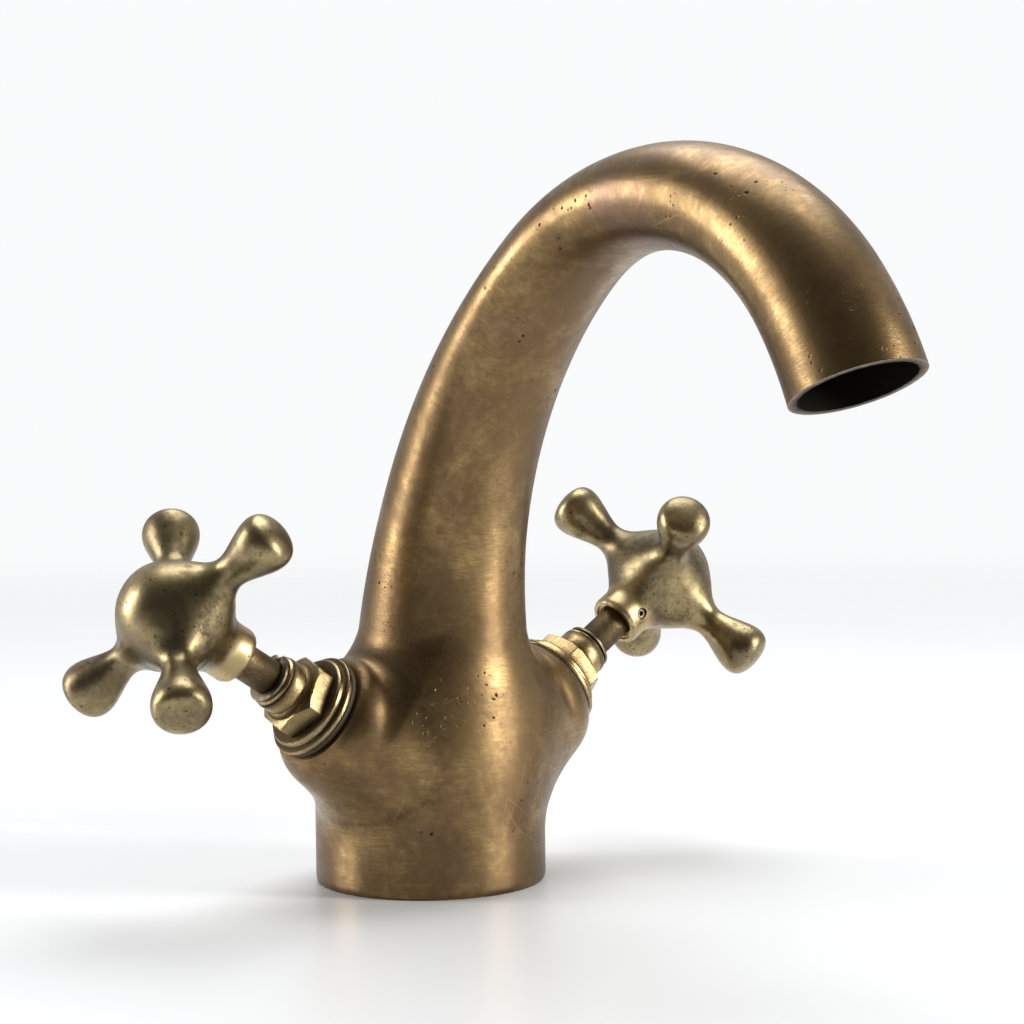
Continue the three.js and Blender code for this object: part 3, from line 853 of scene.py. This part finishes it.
def make_materials():
    finish = bpy.context.scene.mixer_finish
    for build in (build_patina_group, build_brushing_group, build_pits_group,
                  build_scratch_group):
        build()
    lighter = tuple(0.5 * (a + b) for a, b in zip(finish.gold, finish.olive))
    casting_brass(finish)
    handle_brass(finish)
    worked_brass("worn_brass", finish, lighter, 900.0, 9.0)
    worked_brass("filed_brass", finish, lighter, 8.0, 26.0)
    worked_brass("dark_brass", finish, tuple(finish.olive), 1500.0, 6.0, 0.5, 0.30)
    mottled("clean_brass", (0.62, 0.47, 0.20), 0.22, 500.0, METAL_MOTTLE)
    mottled("steel", (0.20, 0.160, 0.105), 0.34, 700.0, METAL_MOTTLE)
    mottled("fibre", (0.060, 0.042, 0.026), 0.70, 1500.0, SOFT_MOTTLE)
    mottled("rubber", (0.012, 0.012, 0.012), 0.55, 900.0, SOFT_MOTTLE)


# ---- casting --------------------------------------------------------------------------------

CHAMBER_OUTLINE = in_metres([
    (7.5, 3.6), (13.2, 3.6), (13.2, 6.3), (16.2, 6.3), (16.2, 7), (40, 7)])
PORT_OUTLINE = in_metres([(-3, 5), (0.5, 4.5), (13, 4.5), (13, 3.4), (24, 3.4)])
PORT_PLACE = (9.5 * MM, -5 * MM, 0)
STUD_OUTLINE = in_metres([(-3, 3.9), (0.5, 3.4), (16, 3.4)])
STUD_PLACE = (0, 11 * MM, 0)
SEAL_GROOVE = (20.5 * MM, 23 * MM, 1.7 * MM)
WATERWAY_FLOOR = 43 * MM
BASE_WALL = 3.4 * MM
BORE_TAPER = (0.72, 0.86, 0.94, 0.98)     # the waterway's first sections are rounded in
BORE_ROWS, CORE_ROWS = 6, 8               # sections of the column for each one of a rough tube
PASSAGE_START, PASSAGE_RADIUS = 24 * MM, 4 * MM      # from each valve up to the waterway
PASSAGE_END = (8 * MM, -5 * MM, WATERWAY_FLOOR + 4 * MM)
TRIM_RADIUS = {"mouth": 20 * MM, "underside": 32 * MM, "boss": 14.5 * MM}
CREASE_END, CREASE_FADE = BOSS_FACE + 0.8 * MM, 10 * MM      # hollows narrow towards a face
CREASE_LEAST = 0.06                       # to this share of their width
CAP_DEPTH, CAP_REACH = 1.2 * MM, 15 * MM  # end caps of the overruns, which don't settle
LIP_DEPTH = 1 * MM                        # the mouth's cut edge keeps the outer finish
INSIDE_START, INSIDE_FADE = 0.9 * MM, 0.5 * MM       # depth below the skin


def on_side(place, side):
    """The place, or its mirror image where the side is -1."""
    return Vector((side * place[0], *place[1:]))


def waterway(column, mouth_wall):
    """Cutter for the spout's bore, from its floor out past the mouth."""
    start = int(np.argmax(column.rows[:, 1] >= WATERWAY_FLOOR))
    rows = column.rows[start::BORE_ROWS]
    wall = np.linspace(BASE_WALL, mouth_wall, len(rows))
    radii = np.minimum(column.width, column.depth)[start::BORE_ROWS] - wall
    radii[:len(BORE_TAPER)] *= BORE_TAPER
    centres = [(0, y, z) for y, z, _ in rows]
    return tube("bore", centres, radii)


def face_trimmer(matrix, radius):
    """Cutter that takes the overrun off a flat face: the frame's origin lies in that face."""
    cutter = spun("trimmer", solid_outline([(0, radius), (3 * OVERRUN, radius)]), 64)
    return placed(cutter, matrix)


class MIXER_OT_casting(bpy.types.Operator):
    """Base, bosses and swan-neck spout as one hollow casting"""
    bl_idname = "mixer.casting"
    bl_label = "Casting"

    def execute(self, context):
        sizes = context.scene.mixer_casting
        column = Column(sizes.base_radius, sizes.foot_round)
        frames = [valve_frame(label) for label in SIDES]
        shapes = [column, *(Turned(softened(BOSS_OUTLINE), matrix) for matrix in frames)]

        def crease(points):
            low, high = BASE_TOP, WATERWAY_FLOOR
            share = np.clip((points[:, 2] - low) / (high - low), 0, 1)
            width = sizes.lower_crease + share * (sizes.upper_crease - sizes.lower_crease)
            station = np.maximum(*(boss.local(points)[0] for boss in shapes[1:]))
            return width * np.clip((CREASE_END - station) / CREASE_FADE, CREASE_LEAST, 1)

        centres = [(0, y, z) for y, z, _ in column.rows[::CORE_ROWS]]
        radii = np.minimum(column.width, column.depth)[::CORE_ROWS]
        casting = tube("mixer_casting", centres, radii)
        bosses = [placed(spun("boss", solid_outline(BOSS_OUTLINE)), matrix)
                  for matrix in frames]
        join(casting, bosses)
        for cell in (2 * sizes.grain, sizes.grain):
            apply_modifier(casting, "REMESH", mode="VOXEL", voxel_size=cell)
            self.settle_skin(casting, shapes, crease, column)
        combine(casting, self.cutters(column, frames, sizes), "DIFFERENCE")
        self.store_flow(casting, shapes, crease, column)
        shade(casting, 40)
        finish_piece(casting, "faucet", "aged_brass", "body_casting")
        return {"FINISHED"}

    @staticmethod
    def settle_skin(casting, shapes, crease, column):
        """Settles the skin but leaves the overruns' end caps where they are."""
        before = vertex_places(casting)
        distance = column.nearest(before)[0]
        capped = (distance < CAP_DEPTH) | (distance > column.distance[-1] - CAP_DEPTH)
        for shape in shapes[1:]:
            along, radius, _ = shape.local(before)
            capped |= (along > BOSS_OUTLINE[-1][0] - CAP_DEPTH) & (radius < CAP_REACH)
        settle(casting, shapes, crease)
        after = vertex_places(casting)
        after[capped] = before[capped]
        move_vertices(casting, after)

    @staticmethod
    def cutters(column, frames, sizes):
        """The shapes that cut the ends flat and hollow the casting out."""
        mouth_y, mouth_z, heading = column.mouth
        mouth = Matrix.Translation((0, mouth_y, mouth_z)) @ Matrix.Rotation(heading, 4, "X")
        cutters = [
            face_trimmer(mouth, TRIM_RADIUS["mouth"]),
            face_trimmer(Matrix.Rotation(math.pi, 4, "X"), TRIM_RADIUS["underside"]),
            waterway(column, sizes.mouth_wall),
        ]
        for matrix, side in zip(frames, (-1, 1)):
            face = matrix @ Matrix.Translation((0, 0, BOSS_FACE))
            start = matrix @ Vector((0, 0, PASSAGE_START))
            end = on_side(PASSAGE_END, side)
            cutters += [
                face_trimmer(face, TRIM_RADIUS["boss"]),
                placed(spun("chamber", solid_outline(CHAMBER_OUTLINE), 64), matrix),
                placed(spun("port", solid_outline(PORT_OUTLINE), 48),
                       Matrix.Translation(on_side(PORT_PLACE, side))),
                tube("passage", [start, start.lerp(end, 0.5), end], [PASSAGE_RADIUS] * 3),
            ]
        cutters.append(placed(spun("stud", solid_outline(STUD_OUTLINE), 48),
                              Matrix.Translation(STUD_PLACE)))
        inner, outer, depth = SEAL_GROOVE
        cutters.append(spun("groove", ring_outline(inner, outer, -2 * MM, depth), 128))
        return cutters

    @staticmethod
    def store_flow(casting, shapes, crease, column):
        """Stores the way along and round the column, its hollows and its inside."""
        places = vertex_places(casting)
        value, _, hollow = merged_field(shapes, crease, places)
        distance, width, depth, offset, _ = column.nearest(places)
        angle = np.arctan2(offset / depth, places[:, 0] / width)
        store(casting, "flow_along", distance)
        store(casting, "flow_cos", np.cos(angle))
        store(casting, "flow_sin", np.sin(angle))
        store(casting, "hollow", hollow**2)
        deep = np.clip((-value - INSIDE_START) / INSIDE_FADE, 0, 1)
        near_mouth = distance > column.mouth_distance - LIP_DEPTH
        store(casting, "inside", np.where(near_mouth & (deep < 1), 0, deep))


# ---- valves ---------------------------------------------------------------------------------

FLANGE_SPAN = (37.9 * MM, 39.2 * MM)
COLLAR = (10 * MM, 40.8 * MM)
HEXAGON_TOP = 45 * MM
NECK_TOP = 50.3 * MM
THREAD_RADIUS = 6.7 * MM
HEXAGON_TURN = {"hot": math.radians(13.6), "cold": math.radians(50.2)}
GUIDE_BORE = (9.3 * MM, 24 * MM, 38.5 * MM)          # flats, start and end
SHOULDER_BORE = in_metres([(38, 5.3), (41, 5.3)])
STEM_BORE = in_metres([(40, 4.05), (52, 4.05)])
WASHER_SPAN = (36.72 * MM, 37.78 * MM)
WASHER_INNER, WASHER_INSET = 7 * MM, 0.15 * MM
FILED_HEIGHT, FILED_RADIUS, FILED_SLANT = 2.2 * MM, 6.7 * MM, 0.2    # the hexagon's flats
BONNET_GROOVES = (36.6, 39.3, 40.9, 45.4, 49.3)      # stations in mm where dark shade is painted at grooves and joints
SPINDLE_GROOVES = (50.6, 51.4, 60.0)
ON_AXIS = 1e-6


def bonnet_outline(flange_radius, neck_radius):
    """The bonnet's outline: thread, flange, collar, the hexagon's core and the grooved neck."""
    low, high = FLANGE_SPAN
    collar_radius, collar_top = COLLAR
    thread = []
    for turn in range(12):
        foot = (25.6 + turn) * MM
        thread += [(foot, THREAD_RADIUS), (foot + 0.5 * MM, THREAD_RADIUS - 0.4 * MM)]
    return [
        (25 * MM, THREAD_RADIUS - 0.6 * MM), *thread, (low, THREAD_RADIUS),
        (low, flange_radius - 0.2 * MM), (low + 0.25 * MM, flange_radius),
        (high - 0.3 * MM, flange_radius), (high, flange_radius - 0.35 * MM),
        (high, collar_radius + 0.45 * MM), (high + 0.25 * MM, collar_radius + 0.1 * MM),
        (high + 0.6 * MM, collar_radius), (collar_top - 0.5 * MM, collar_radius),
        (collar_top, collar_radius - 0.5 * MM), (collar_top, 6.6 * MM),
        (HEXAGON_TOP + 0.3 * MM, 6.6 * MM), (HEXAGON_TOP + 0.8 * MM, neck_radius - 0.25 * MM),
        (HEXAGON_TOP + 1.2 * MM, neck_radius), (NECK_TOP - 1.1 * MM, neck_radius),
        (NECK_TOP - 0.9 * MM, neck_radius - 0.35 * MM),
        (NECK_TOP - 0.6 * MM, neck_radius - 0.35 * MM),
        (NECK_TOP - 0.5 * MM, neck_radius - 0.1 * MM), (NECK_TOP, neck_radius - 0.5 * MM),
    ]


def store_turned_flow(obj, matrix, grooves, reach=0.45 * MM):
    """Stores the station, the way round and the painted groove shade of a turned piece."""
    along, radius, inside = seen_from_axis(matrix, vertex_places(obj))
    # Painted shade: a dark band at each listed groove and joint, where shade falls.
    grime_and_shade = np.zeros(len(along))
    for groove in grooves:
        grime_and_shade = np.maximum(grime_and_shade, np.exp(-((along - groove * MM) / reach) ** 2))
    size = np.maximum(radius, ON_AXIS)
    store(obj, "flow_along", along)
    store(obj, "flow_cos", inside[:, 0] / size)
    store(obj, "flow_sin", inside[:, 1] / size)
    store(obj, "grime_and_shade", grime_and_shade)


def hexagon(name, flats, start, end, turn):
    """A six-sided bar with softened edges."""
    radius = flats / math.sqrt(3)
    bar = start_primitive(
        bpy.ops.mesh.primitive_cylinder_add, name, vertices=6, radius=radius,
        depth=end - start, location=(0, 0, (start + end) / 2),
        rotation=(0, 0, turn - math.pi / 2))
    bpy.ops.object.transform_apply(location=True, rotation=True, scale=True)
    rounded_edges(bar, 0.25 * MM, 3, 40)
    return bar


class MIXER_OT_bonnets(bpy.types.Operator):
    """Threaded bonnet with flange, hexagon and neck, and its sealing washer, on each side"""
    bl_idname = "mixer.bonnets"
    bl_label = "Bonnets"

    def execute(self, context):
        sizes = context.scene.mixer_valve
        for label in SIDES:
            matrix = valve_frame(label)
            self.bonnet(label, matrix, sizes)
            self.washer(label, matrix, sizes)
        return {"FINISHED"}

    @staticmethod
    def bonnet(label, matrix, sizes):
        outline = bonnet_outline(sizes.flange_radius, sizes.neck_radius)
        body = spun(f"valve_bonnet_{label}", solid_outline(outline))
        rounded_edges(body, 0.08 * MM, 2, 25)
        corner = sizes.hexagon_flats / math.sqrt(3)
        nut = hexagon("nut", sizes.hexagon_flats, COLLAR[1] - 0.4 * MM, HEXAGON_TOP,
                      HEXAGON_TURN[label])
        turned_off = spun("cone", solid_outline([
            (COLLAR[1] - 1 * MM, corner + MM), (HEXAGON_TOP - 0.9 * MM, corner + 0.1 * MM),
            (HEXAGON_TOP - 0.35 * MM, corner - 0.6 * MM),
            (HEXAGON_TOP + 0.1 * MM, corner - 1.5 * MM)]))
        combine(nut, [turned_off], "INTERSECT")
        combine(body, [nut], "UNION")
        guide = hexagon("guide", *GUIDE_BORE, 0)
        shoulder = spun("shoulder", solid_outline(SHOULDER_BORE), 64)
        stem = spun("stem", solid_outline(STEM_BORE), 64)
        combine(body, [guide, shoulder, stem], "DIFFERENCE")
        placed(body, matrix)
        store_turned_flow(body, matrix, BONNET_GROOVES)
        shade(body, 32)
        finish_piece(body, "faucet", "worn_brass", f"bonnet_{label}")
        MIXER_OT_bonnets.file_flats(body, matrix)

    @staticmethod
    def file_flats(body, matrix):
        """Gives the hexagon's flats the finish of filed brass."""
        body.data.materials.append(finish_named("filed_brass"))
        axis = (matrix.to_3x3() @ Vector((0, 0, 1))).normalized()
        centre = matrix @ Vector((0, 0, (COLLAR[1] + HEXAGON_TOP) / 2))
        for face in body.data.polygons:
            offset = face.center - centre
            height = offset.dot(axis)
            radius = (offset - axis * height).length
            if (abs(height) < FILED_HEIGHT and radius > FILED_RADIUS
                    and abs(face.normal.dot(axis)) < FILED_SLANT):
                face.material_index = 1

    @staticmethod
    def washer(label, matrix, sizes):
        outer = sizes.flange_radius - WASHER_INSET
        outline = ring_outline(WASHER_INNER, outer, *WASHER_SPAN)
        washer = spun(f"sealing_washer_{label}", outline)
        rounded_edges(washer, 0.12 * MM, 3, 40)
        placed(washer, matrix)
        shade(washer)
        finish_piece(washer, "faucet", "fibre", f"bonnet_washer_{label}")


SCREW_START, SCREW_TURNS = 29.5, 9        # the spindle's screw, in mm
O_RING_STATIONS, O_RING_HALF = (43.2, 47.4), 0.75
CLIP_RING = (3.2 * MM, 5.4 * MM, 50.65 * MM, 51.25 * MM)     # radii, then start and end
CLIP_GAP = (10.8 * MM, 2.4 * MM, 4 * MM)
CLIP_GAP_PLACE = (5.4 * MM, 0, 51 * MM)


class MIXER_OT_spindles(bpy.types.Operator):
    """Spindle with its bare stem and screw, and the spring clip at the neck, on each side"""
    bl_idname = "mixer.spindles"
    bl_label = "Spindles"

    def execute(self, context):
        stem = context.scene.mixer_valve.stem_radius
        for label in SIDES:
            matrix = valve_frame(label)
            self.spindle(label, matrix, stem)
            self.clip(label, matrix)
        return {"FINISHED"}

    @staticmethod
    def spindle(label, matrix, stem):
        stem /= MM
        screw = []
        for turn in range(SCREW_TURNS):
            foot = SCREW_START + turn
            screw += [(foot, 2.6), (foot + 0.5, 2.15)]
        grooves = []
        for station in O_RING_STATIONS:
            low, high = station - O_RING_HALF, station + O_RING_HALF
            grooves += [(low, stem), (low, 2.6), (high, 2.6), (high, stem)]
        # The ring of points at 59.6 ends the shade painted on the stem under the handle.
        outline = in_metres([
            (29, 2.1), *screw, (38.6, 2.4), (38.6, 4.9), (40, 4.9), (40, stem), *grooves,
            (50.35, stem), (50.35, 2.9), (51.55, 2.9), (51.55, stem), (59.6, stem),
            (61.7, stem), (62.2, stem - 0.4), (62.2, 2.9), (69.6, 2.9), (70, 2.5)])
        spindle = spun(f"valve_spindle_{label}", solid_outline(outline), 80)
        rounded_edges(spindle, 0.08 * MM, 2, 30)
        placed(spindle, matrix)
        store_turned_flow(spindle, matrix, SPINDLE_GROOVES, 0.6 * MM)
        shade(spindle)
        finish_piece(spindle, f"valve_{label}", "dark_brass", f"spindle_{label}")

    @staticmethod
    def clip(label, matrix):
        clip = spun(f"spring_clip_{label}", ring_outline(*CLIP_RING), 80)
        gap = start_primitive(bpy.ops.mesh.primitive_cube_add, "gap", size=1)
        gap.scale = CLIP_GAP
        gap.location = CLIP_GAP_PLACE
        combine(clip, [gap], "DIFFERENCE")
        rounded_edges(clip, 0.1 * MM, 2, 40)
        placed(clip, matrix)
        shade(clip)
        finish_piece(clip, f"valve_{label}", "steel", f"retaining_clip_{label}")


# ---- handles --------------------------------------------------------------------------------

ENTRY_OUTLINE = in_metres([
    (59, 5.1), (60.25, 4.9), (60.8, 4.8), (60.8, 4.4), (61.3, 4.4), (61.3, 4.05), (62.5, 4.05),
    (62.5, 3.2), (70.4, 3.2)])
HOLE_OUTLINE = in_metres([(2, 1.3), (9, 1.3)])
GRUB_OUTLINE = in_metres([(3.3, 0.9), (3.7, 1.2), (5.6, 1.2), (5.8, 1.0)])
SOCKET = {"radius": 0.6 * MM, "depth": 3 * MM, "location": (0, 0, 6.3 * MM)}
GRUB_STATION = 64.2 * MM
GRUB_TURN = {"hot": math.radians(90), "cold": math.radians(270)}
ENTRY_RADIUS, ENTRY_DEPTH, ENTRY_DULLNESS = 5.4 * MM, 66 * MM, 0.6
# Pale brass on a handle, a painted highlight on the arms' ball ends and wear on the top and the
# collar: where it starts, the length over which it grows, and the most of it.
ARM_HIGHLIGHT = (19 * MM, 9 * MM, 0.4)
TOP_WEAR = (82 * MM, 6 * MM, 1.0)
COLLAR_WEAR = (67 * MM, -2 * MM, 2.5)


def sideways(station, turn):
    """Frame whose +Z points out from the valve's axis at a station."""
    return (Matrix.Rotation(turn, 4, "Z") @ Matrix.Translation((0, 0, station))
            @ Matrix.Rotation(math.pi / 2, 4, "Y"))


def wear_and_highlight_ramp(place, start, length, most):
    return most * np.clip((place - start) / length, 0, 1)


class MIXER_OT_handles(bpy.types.Operator):
    """Cross handle with four ball-ended arms and its grub screw, on each side"""
    bl_idname = "mixer.handles"
    bl_label = "Handles"

    def execute(self, context):
        sizes = context.scene.mixer_handle
        turns = {"hot": sizes.hot_turn, "cold": sizes.cold_turn}
        for label in SIDES:
            matrix = valve_frame(label)
            self.handle(label, matrix, sizes, turns[label])
            self.grub(label, matrix)
        return {"FINISHED"}

    @staticmethod
    def handle(label, matrix, sizes, turn):
        def blend(points):
            return sizes.arm_blend

        hub = np.vstack([(HUB_OUTLINE[0][0], 0), HUB_OUTLINE[0], softened(HUB_OUTLINE[1:])])
        arm_frames = [sideways(sizes.arm_station, turn + quarter * math.pi / 2)
                      for quarter in range(4)]
        shapes = [Turned(hub, Matrix.Identity(4))]
        shapes += [Turned(softened(ARM_OUTLINE), arm) for arm in arm_frames]
        handle = spun(f"cross_handle_{label}", hub)
        arms = [placed(spun("arm", [(ARM_OUTLINE[0][0], 0)] + ARM_OUTLINE, 48), arm)
                for arm in arm_frames]
        join(handle, arms)
        for cell in (1.6 * sizes.grain, sizes.grain):
            apply_modifier(handle, "REMESH", mode="VOXEL", voxel_size=cell)
            settle(handle, shapes, blend)
        entry = spun("entry", solid_outline(ENTRY_OUTLINE), 80)
        hole = placed(spun("hole", solid_outline(HOLE_OUTLINE), 40),
                      sideways(GRUB_STATION, GRUB_TURN[label]))
        combine(handle, [entry, hole], "DIFFERENCE")
        places = vertex_places(handle)
        _, _, hollow = merged_field(shapes, blend, places)
        station, reach = places[:, 2], np.hypot(places[:, 0], places[:, 1])
        entered = (reach < ENTRY_RADIUS) & (station < ENTRY_DEPTH)
        store(handle, "hollow", np.where(entered, ENTRY_DULLNESS, hollow**2))
        # Painted highlight on the ball ends, and wear on the top and the collar, as one share of
        # pale brass.
        store(handle, "wear_and_highlight", np.maximum.reduce([
            wear_and_highlight_ramp(reach, *ARM_HIGHLIGHT), wear_and_highlight_ramp(station, *TOP_WEAR), wear_and_highlight_ramp(station, *COLLAR_WEAR)]))
        placed(handle, matrix)
        shade(handle, 40)
        finish_piece(handle, f"valve_{label}", "handle_brass", f"handle_{label}")

    @staticmethod
    def grub(label, matrix):
        grub = spun(f"grub_screw_socket_{label}", solid_outline(GRUB_OUTLINE), 40)
        socket = start_primitive(bpy.ops.mesh.primitive_cylinder_add, "socket", vertices=6,
                                 **SOCKET)
        combine(grub, [socket], "DIFFERENCE")
        placed(grub, matrix @ sideways(GRUB_STATION, GRUB_TURN[label]))
        shade(grub)
        finish_piece(grub, f"valve_{label}", "steel", f"grub_screw_{label}")


# ---- hidden pieces --------------------------------------------------------------------------

SEAL_GAP = 0.3 * MM               # between the base seal and the sides of its groove
HIDDEN_FINISH = {
    "thrust_washer": "fibre", "o_ring_inner": "rubber", "o_ring_outer": "rubber",
    "jumper": "clean_brass", "seat_washer": "rubber", "washer_screw": "clean_brass",
    "seat_bush": "clean_brass",
}


class MIXER_OT_hidden_parts(bpy.types.Operator):
    """Base seal, and finishes for the valve parts that keep their designed shape"""
    bl_idname = "mixer.hidden_parts"
    bl_label = "Hidden parts"

    def execute(self, context):
        low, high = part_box("base_seal_ring")
        inner, outer = SEAL_GROOVE[0] + SEAL_GAP, min(SEAL_GROOVE[1] - SEAL_GAP, high.x)
        seal = spun("base_seal", ring_outline(inner, outer, low.z, high.z), 128)
        rounded_edges(seal, 0.3 * MM, 3, 40)
        shade(seal)
        finish_piece(seal, "faucet", "rubber", "base_seal_ring")
        for name, finish in HIDDEN_FINISH.items():
            for label in SIDES:
                node = frame["nodes"][f"{name}_{label}"]
                node.data.materials.clear()
                node.data.materials.append(finish_named(finish))
        return {"FINISHED"}


# ---- studio ---------------------------------------------------------------------------------

LIGHTS = [   # name, place, what it looks at, size, power, colour
    ("window_left", (-0.85, 0.72, 0.34), (0, 0, 0.10),
     (0.32, 0.66), 8.5, (1.0, 0.99, 0.97)),
    ("window_right", (0.62, -0.86, 0.36), (0, -0.04, 0.10),
     (0.26, 0.70), 10.0, (1.0, 0.98, 0.95)),
    ("ceiling", (0.35, 0.25, 1.2), (0, 0, 0),
     (0.9, 0.9), 12.5, (1.0, 1.0, 1.0)),
]
FLOOR_COLOURS = (0.85, 0.865, 0.88, 1), (0.88, 0.895, 0.91, 1)
FLOOR_DROP = 0.02 * MM            # keeps the floor clear of the underside
FLOOR_FADE = (0.30, 1.1)          # distances between which the floor fades into the white
BRIGHT_WAY = (0.55, 0.8, 0.25)    # the room is brightest this way
ROOM_COLOURS = (0.080, 0.076, 0.071, 1), (0.56, 0.56, 0.565, 1)
BACKDROP = (0.955, 0.963, 0.968, 1)
SENSOR_WIDTH = 36
NEAREST_SEEN = 0.01


def look_at(place, target):
    return (Vector(target) - Vector(place)).to_track_quat("-Z", "Y").to_euler()


class MIXER_OT_stage(bpy.types.Operator):
    """Pale floor, soft lights, white surroundings and the camera"""
    bl_idname = "mixer.stage"
    bl_label = "Stage"

    def execute(self, context):
        studio = context.scene.mixer_studio
        self.floor(studio.floor_radius)
        self.surroundings(context.scene)
        for name, place, target, size, power, colour in LIGHTS:
            light = bpy.data.lights.new(name, "AREA")
            light.shape = "RECTANGLE"
            light.size, light.size_y = size
            light.energy = power
            light.color = colour
            lamp = bpy.data.objects.new(name, light)
            lamp.location = place
            lamp.rotation_euler = look_at(place, target)
            context.scene.collection.objects.link(lamp)
        self.camera(context.scene, studio)
        context.scene.view_settings.view_transform = "Standard"
        return {"FINISHED"}

    @staticmethod
    def floor(radius):
        floor = start_primitive(bpy.ops.mesh.primitive_circle_add, "floor", vertices=128,
                                radius=radius, fill_type="NGON", location=(0, 0, -FLOOR_DROP))
        bpy.ops.object.transform_apply(location=True, rotation=True, scale=True)
        material, nodes, inputs = shell("pale_floor", metallic=0.0)
        inputs["Specular IOR Level"].default_value = 0.25
        cloud = nodes.noise(nodes.place(), 3.0, 2)
        nodes.link(nodes.mix(cloud, *FLOOR_COLOURS), inputs["Base Color"])
        nodes.link(nodes.ramp(cloud, 0.2, 0.8, 0.26, 0.32), inputs["Roughness"])
        reach = nodes.vector_math("LENGTH", nodes.place())["Value"]
        nodes.link(nodes.ramp(reach, *FLOOR_FADE, 1.0, 0.0), inputs["Alpha"])
        floor.data.materials.append(material)

    @staticmethod
    def surroundings(scene):
        """White behind the object and darker behind the camera, by direction in the room."""
        world = bpy.data.worlds.new("studio")
        world.use_nodes = True
        scene.world = world
        nodes = Nodes(world.node_tree)
        direction = nodes.fed("ShaderNodeTexCoord", {})["Generated"]
        toward = nodes.vector_math("DOT_PRODUCT", direction, Vector(BRIGHT_WAY).normalized())
        lit = nodes.mix(nodes.ramp(toward["Value"], -0.5, 0.8), *ROOM_COLOURS)
        seen = nodes.fed("ShaderNodeLightPath", {})["Is Camera Ray"]
        background = nodes.fed("ShaderNodeBackground", {
            "Color": nodes.mix(seen, lit, BACKDROP), "Strength": 1.0})
        nodes.fed("ShaderNodeOutputWorld", {"Surface": background[0]})

    @staticmethod
    def camera(scene, studio):
        heading, tilt, roll = studio.camera_turn
        forward = Vector((-math.sin(heading) * math.cos(tilt),
                          math.cos(heading) * math.cos(tilt), math.sin(tilt)))
        right = Vector((math.cos(heading), math.sin(heading), 0))
        upward = right.cross(forward)
        rolled_right = math.cos(roll) * right + math.sin(roll) * upward
        rolled_up = -math.sin(roll) * right + math.cos(roll) * upward
        turn = Matrix((rolled_right, rolled_up, -forward)).transposed().to_4x4()
        data = bpy.data.cameras.new("camera")
        data.lens = studio.lens
        data.sensor_width = SENSOR_WIDTH
        data.clip_start = NEAREST_SEEN
        camera = bpy.data.objects.new("camera", data)
        camera.matrix_world = Matrix.Translation(studio.camera_place) @ turn
        scene.collection.objects.link(camera)
        scene.camera = camera


class MIXER_PT_panel(bpy.types.Panel):
    """Buttons for the mixer's pieces, and their sizes and colours"""
    bl_label = "Basin mixer"
    bl_idname = "MIXER_PT_panel"
    bl_space_type = "VIEW_3D"
    bl_region_type = "UI"
    bl_category = "Mixer"

    def draw(self, context):
        for operator in OPERATORS:
            self.layout.operator(operator.bl_idname)
        for group in GROUPS:
            box = self.layout.box()
            settings = getattr(context.scene, group)
            for name in settings.bl_rna.properties.keys():
                if name not in {"rna_type", "name"}:
                    box.prop(settings, name)


OPERATORS = [MIXER_OT_casting, MIXER_OT_bonnets, MIXER_OT_spindles, MIXER_OT_handles,
             MIXER_OT_hidden_parts, MIXER_OT_stage]


def register():
    for cls in [*GROUPS.values(), *OPERATORS, MIXER_PT_panel]:
        bpy.utils.register_class(cls)
    for name, group in GROUPS.items():
        setattr(bpy.types.Scene, name, bpy.props.PointerProperty(type=group))


def unregister():
    for name in GROUPS:
        delattr(bpy.types.Scene, name)
    for cls in reversed([*GROUPS.values(), *OPERATORS, MIXER_PT_panel]):
        bpy.utils.unregister_class(cls)


def main():
    register()
    make_materials()
    bpy.ops.mixer.casting()
    bpy.ops.mixer.bonnets()
    bpy.ops.mixer.spindles()
    bpy.ops.mixer.handles()
    bpy.ops.mixer.hidden_parts()
    bpy.ops.mixer.stage()


if __name__ == "__main__":
    main()
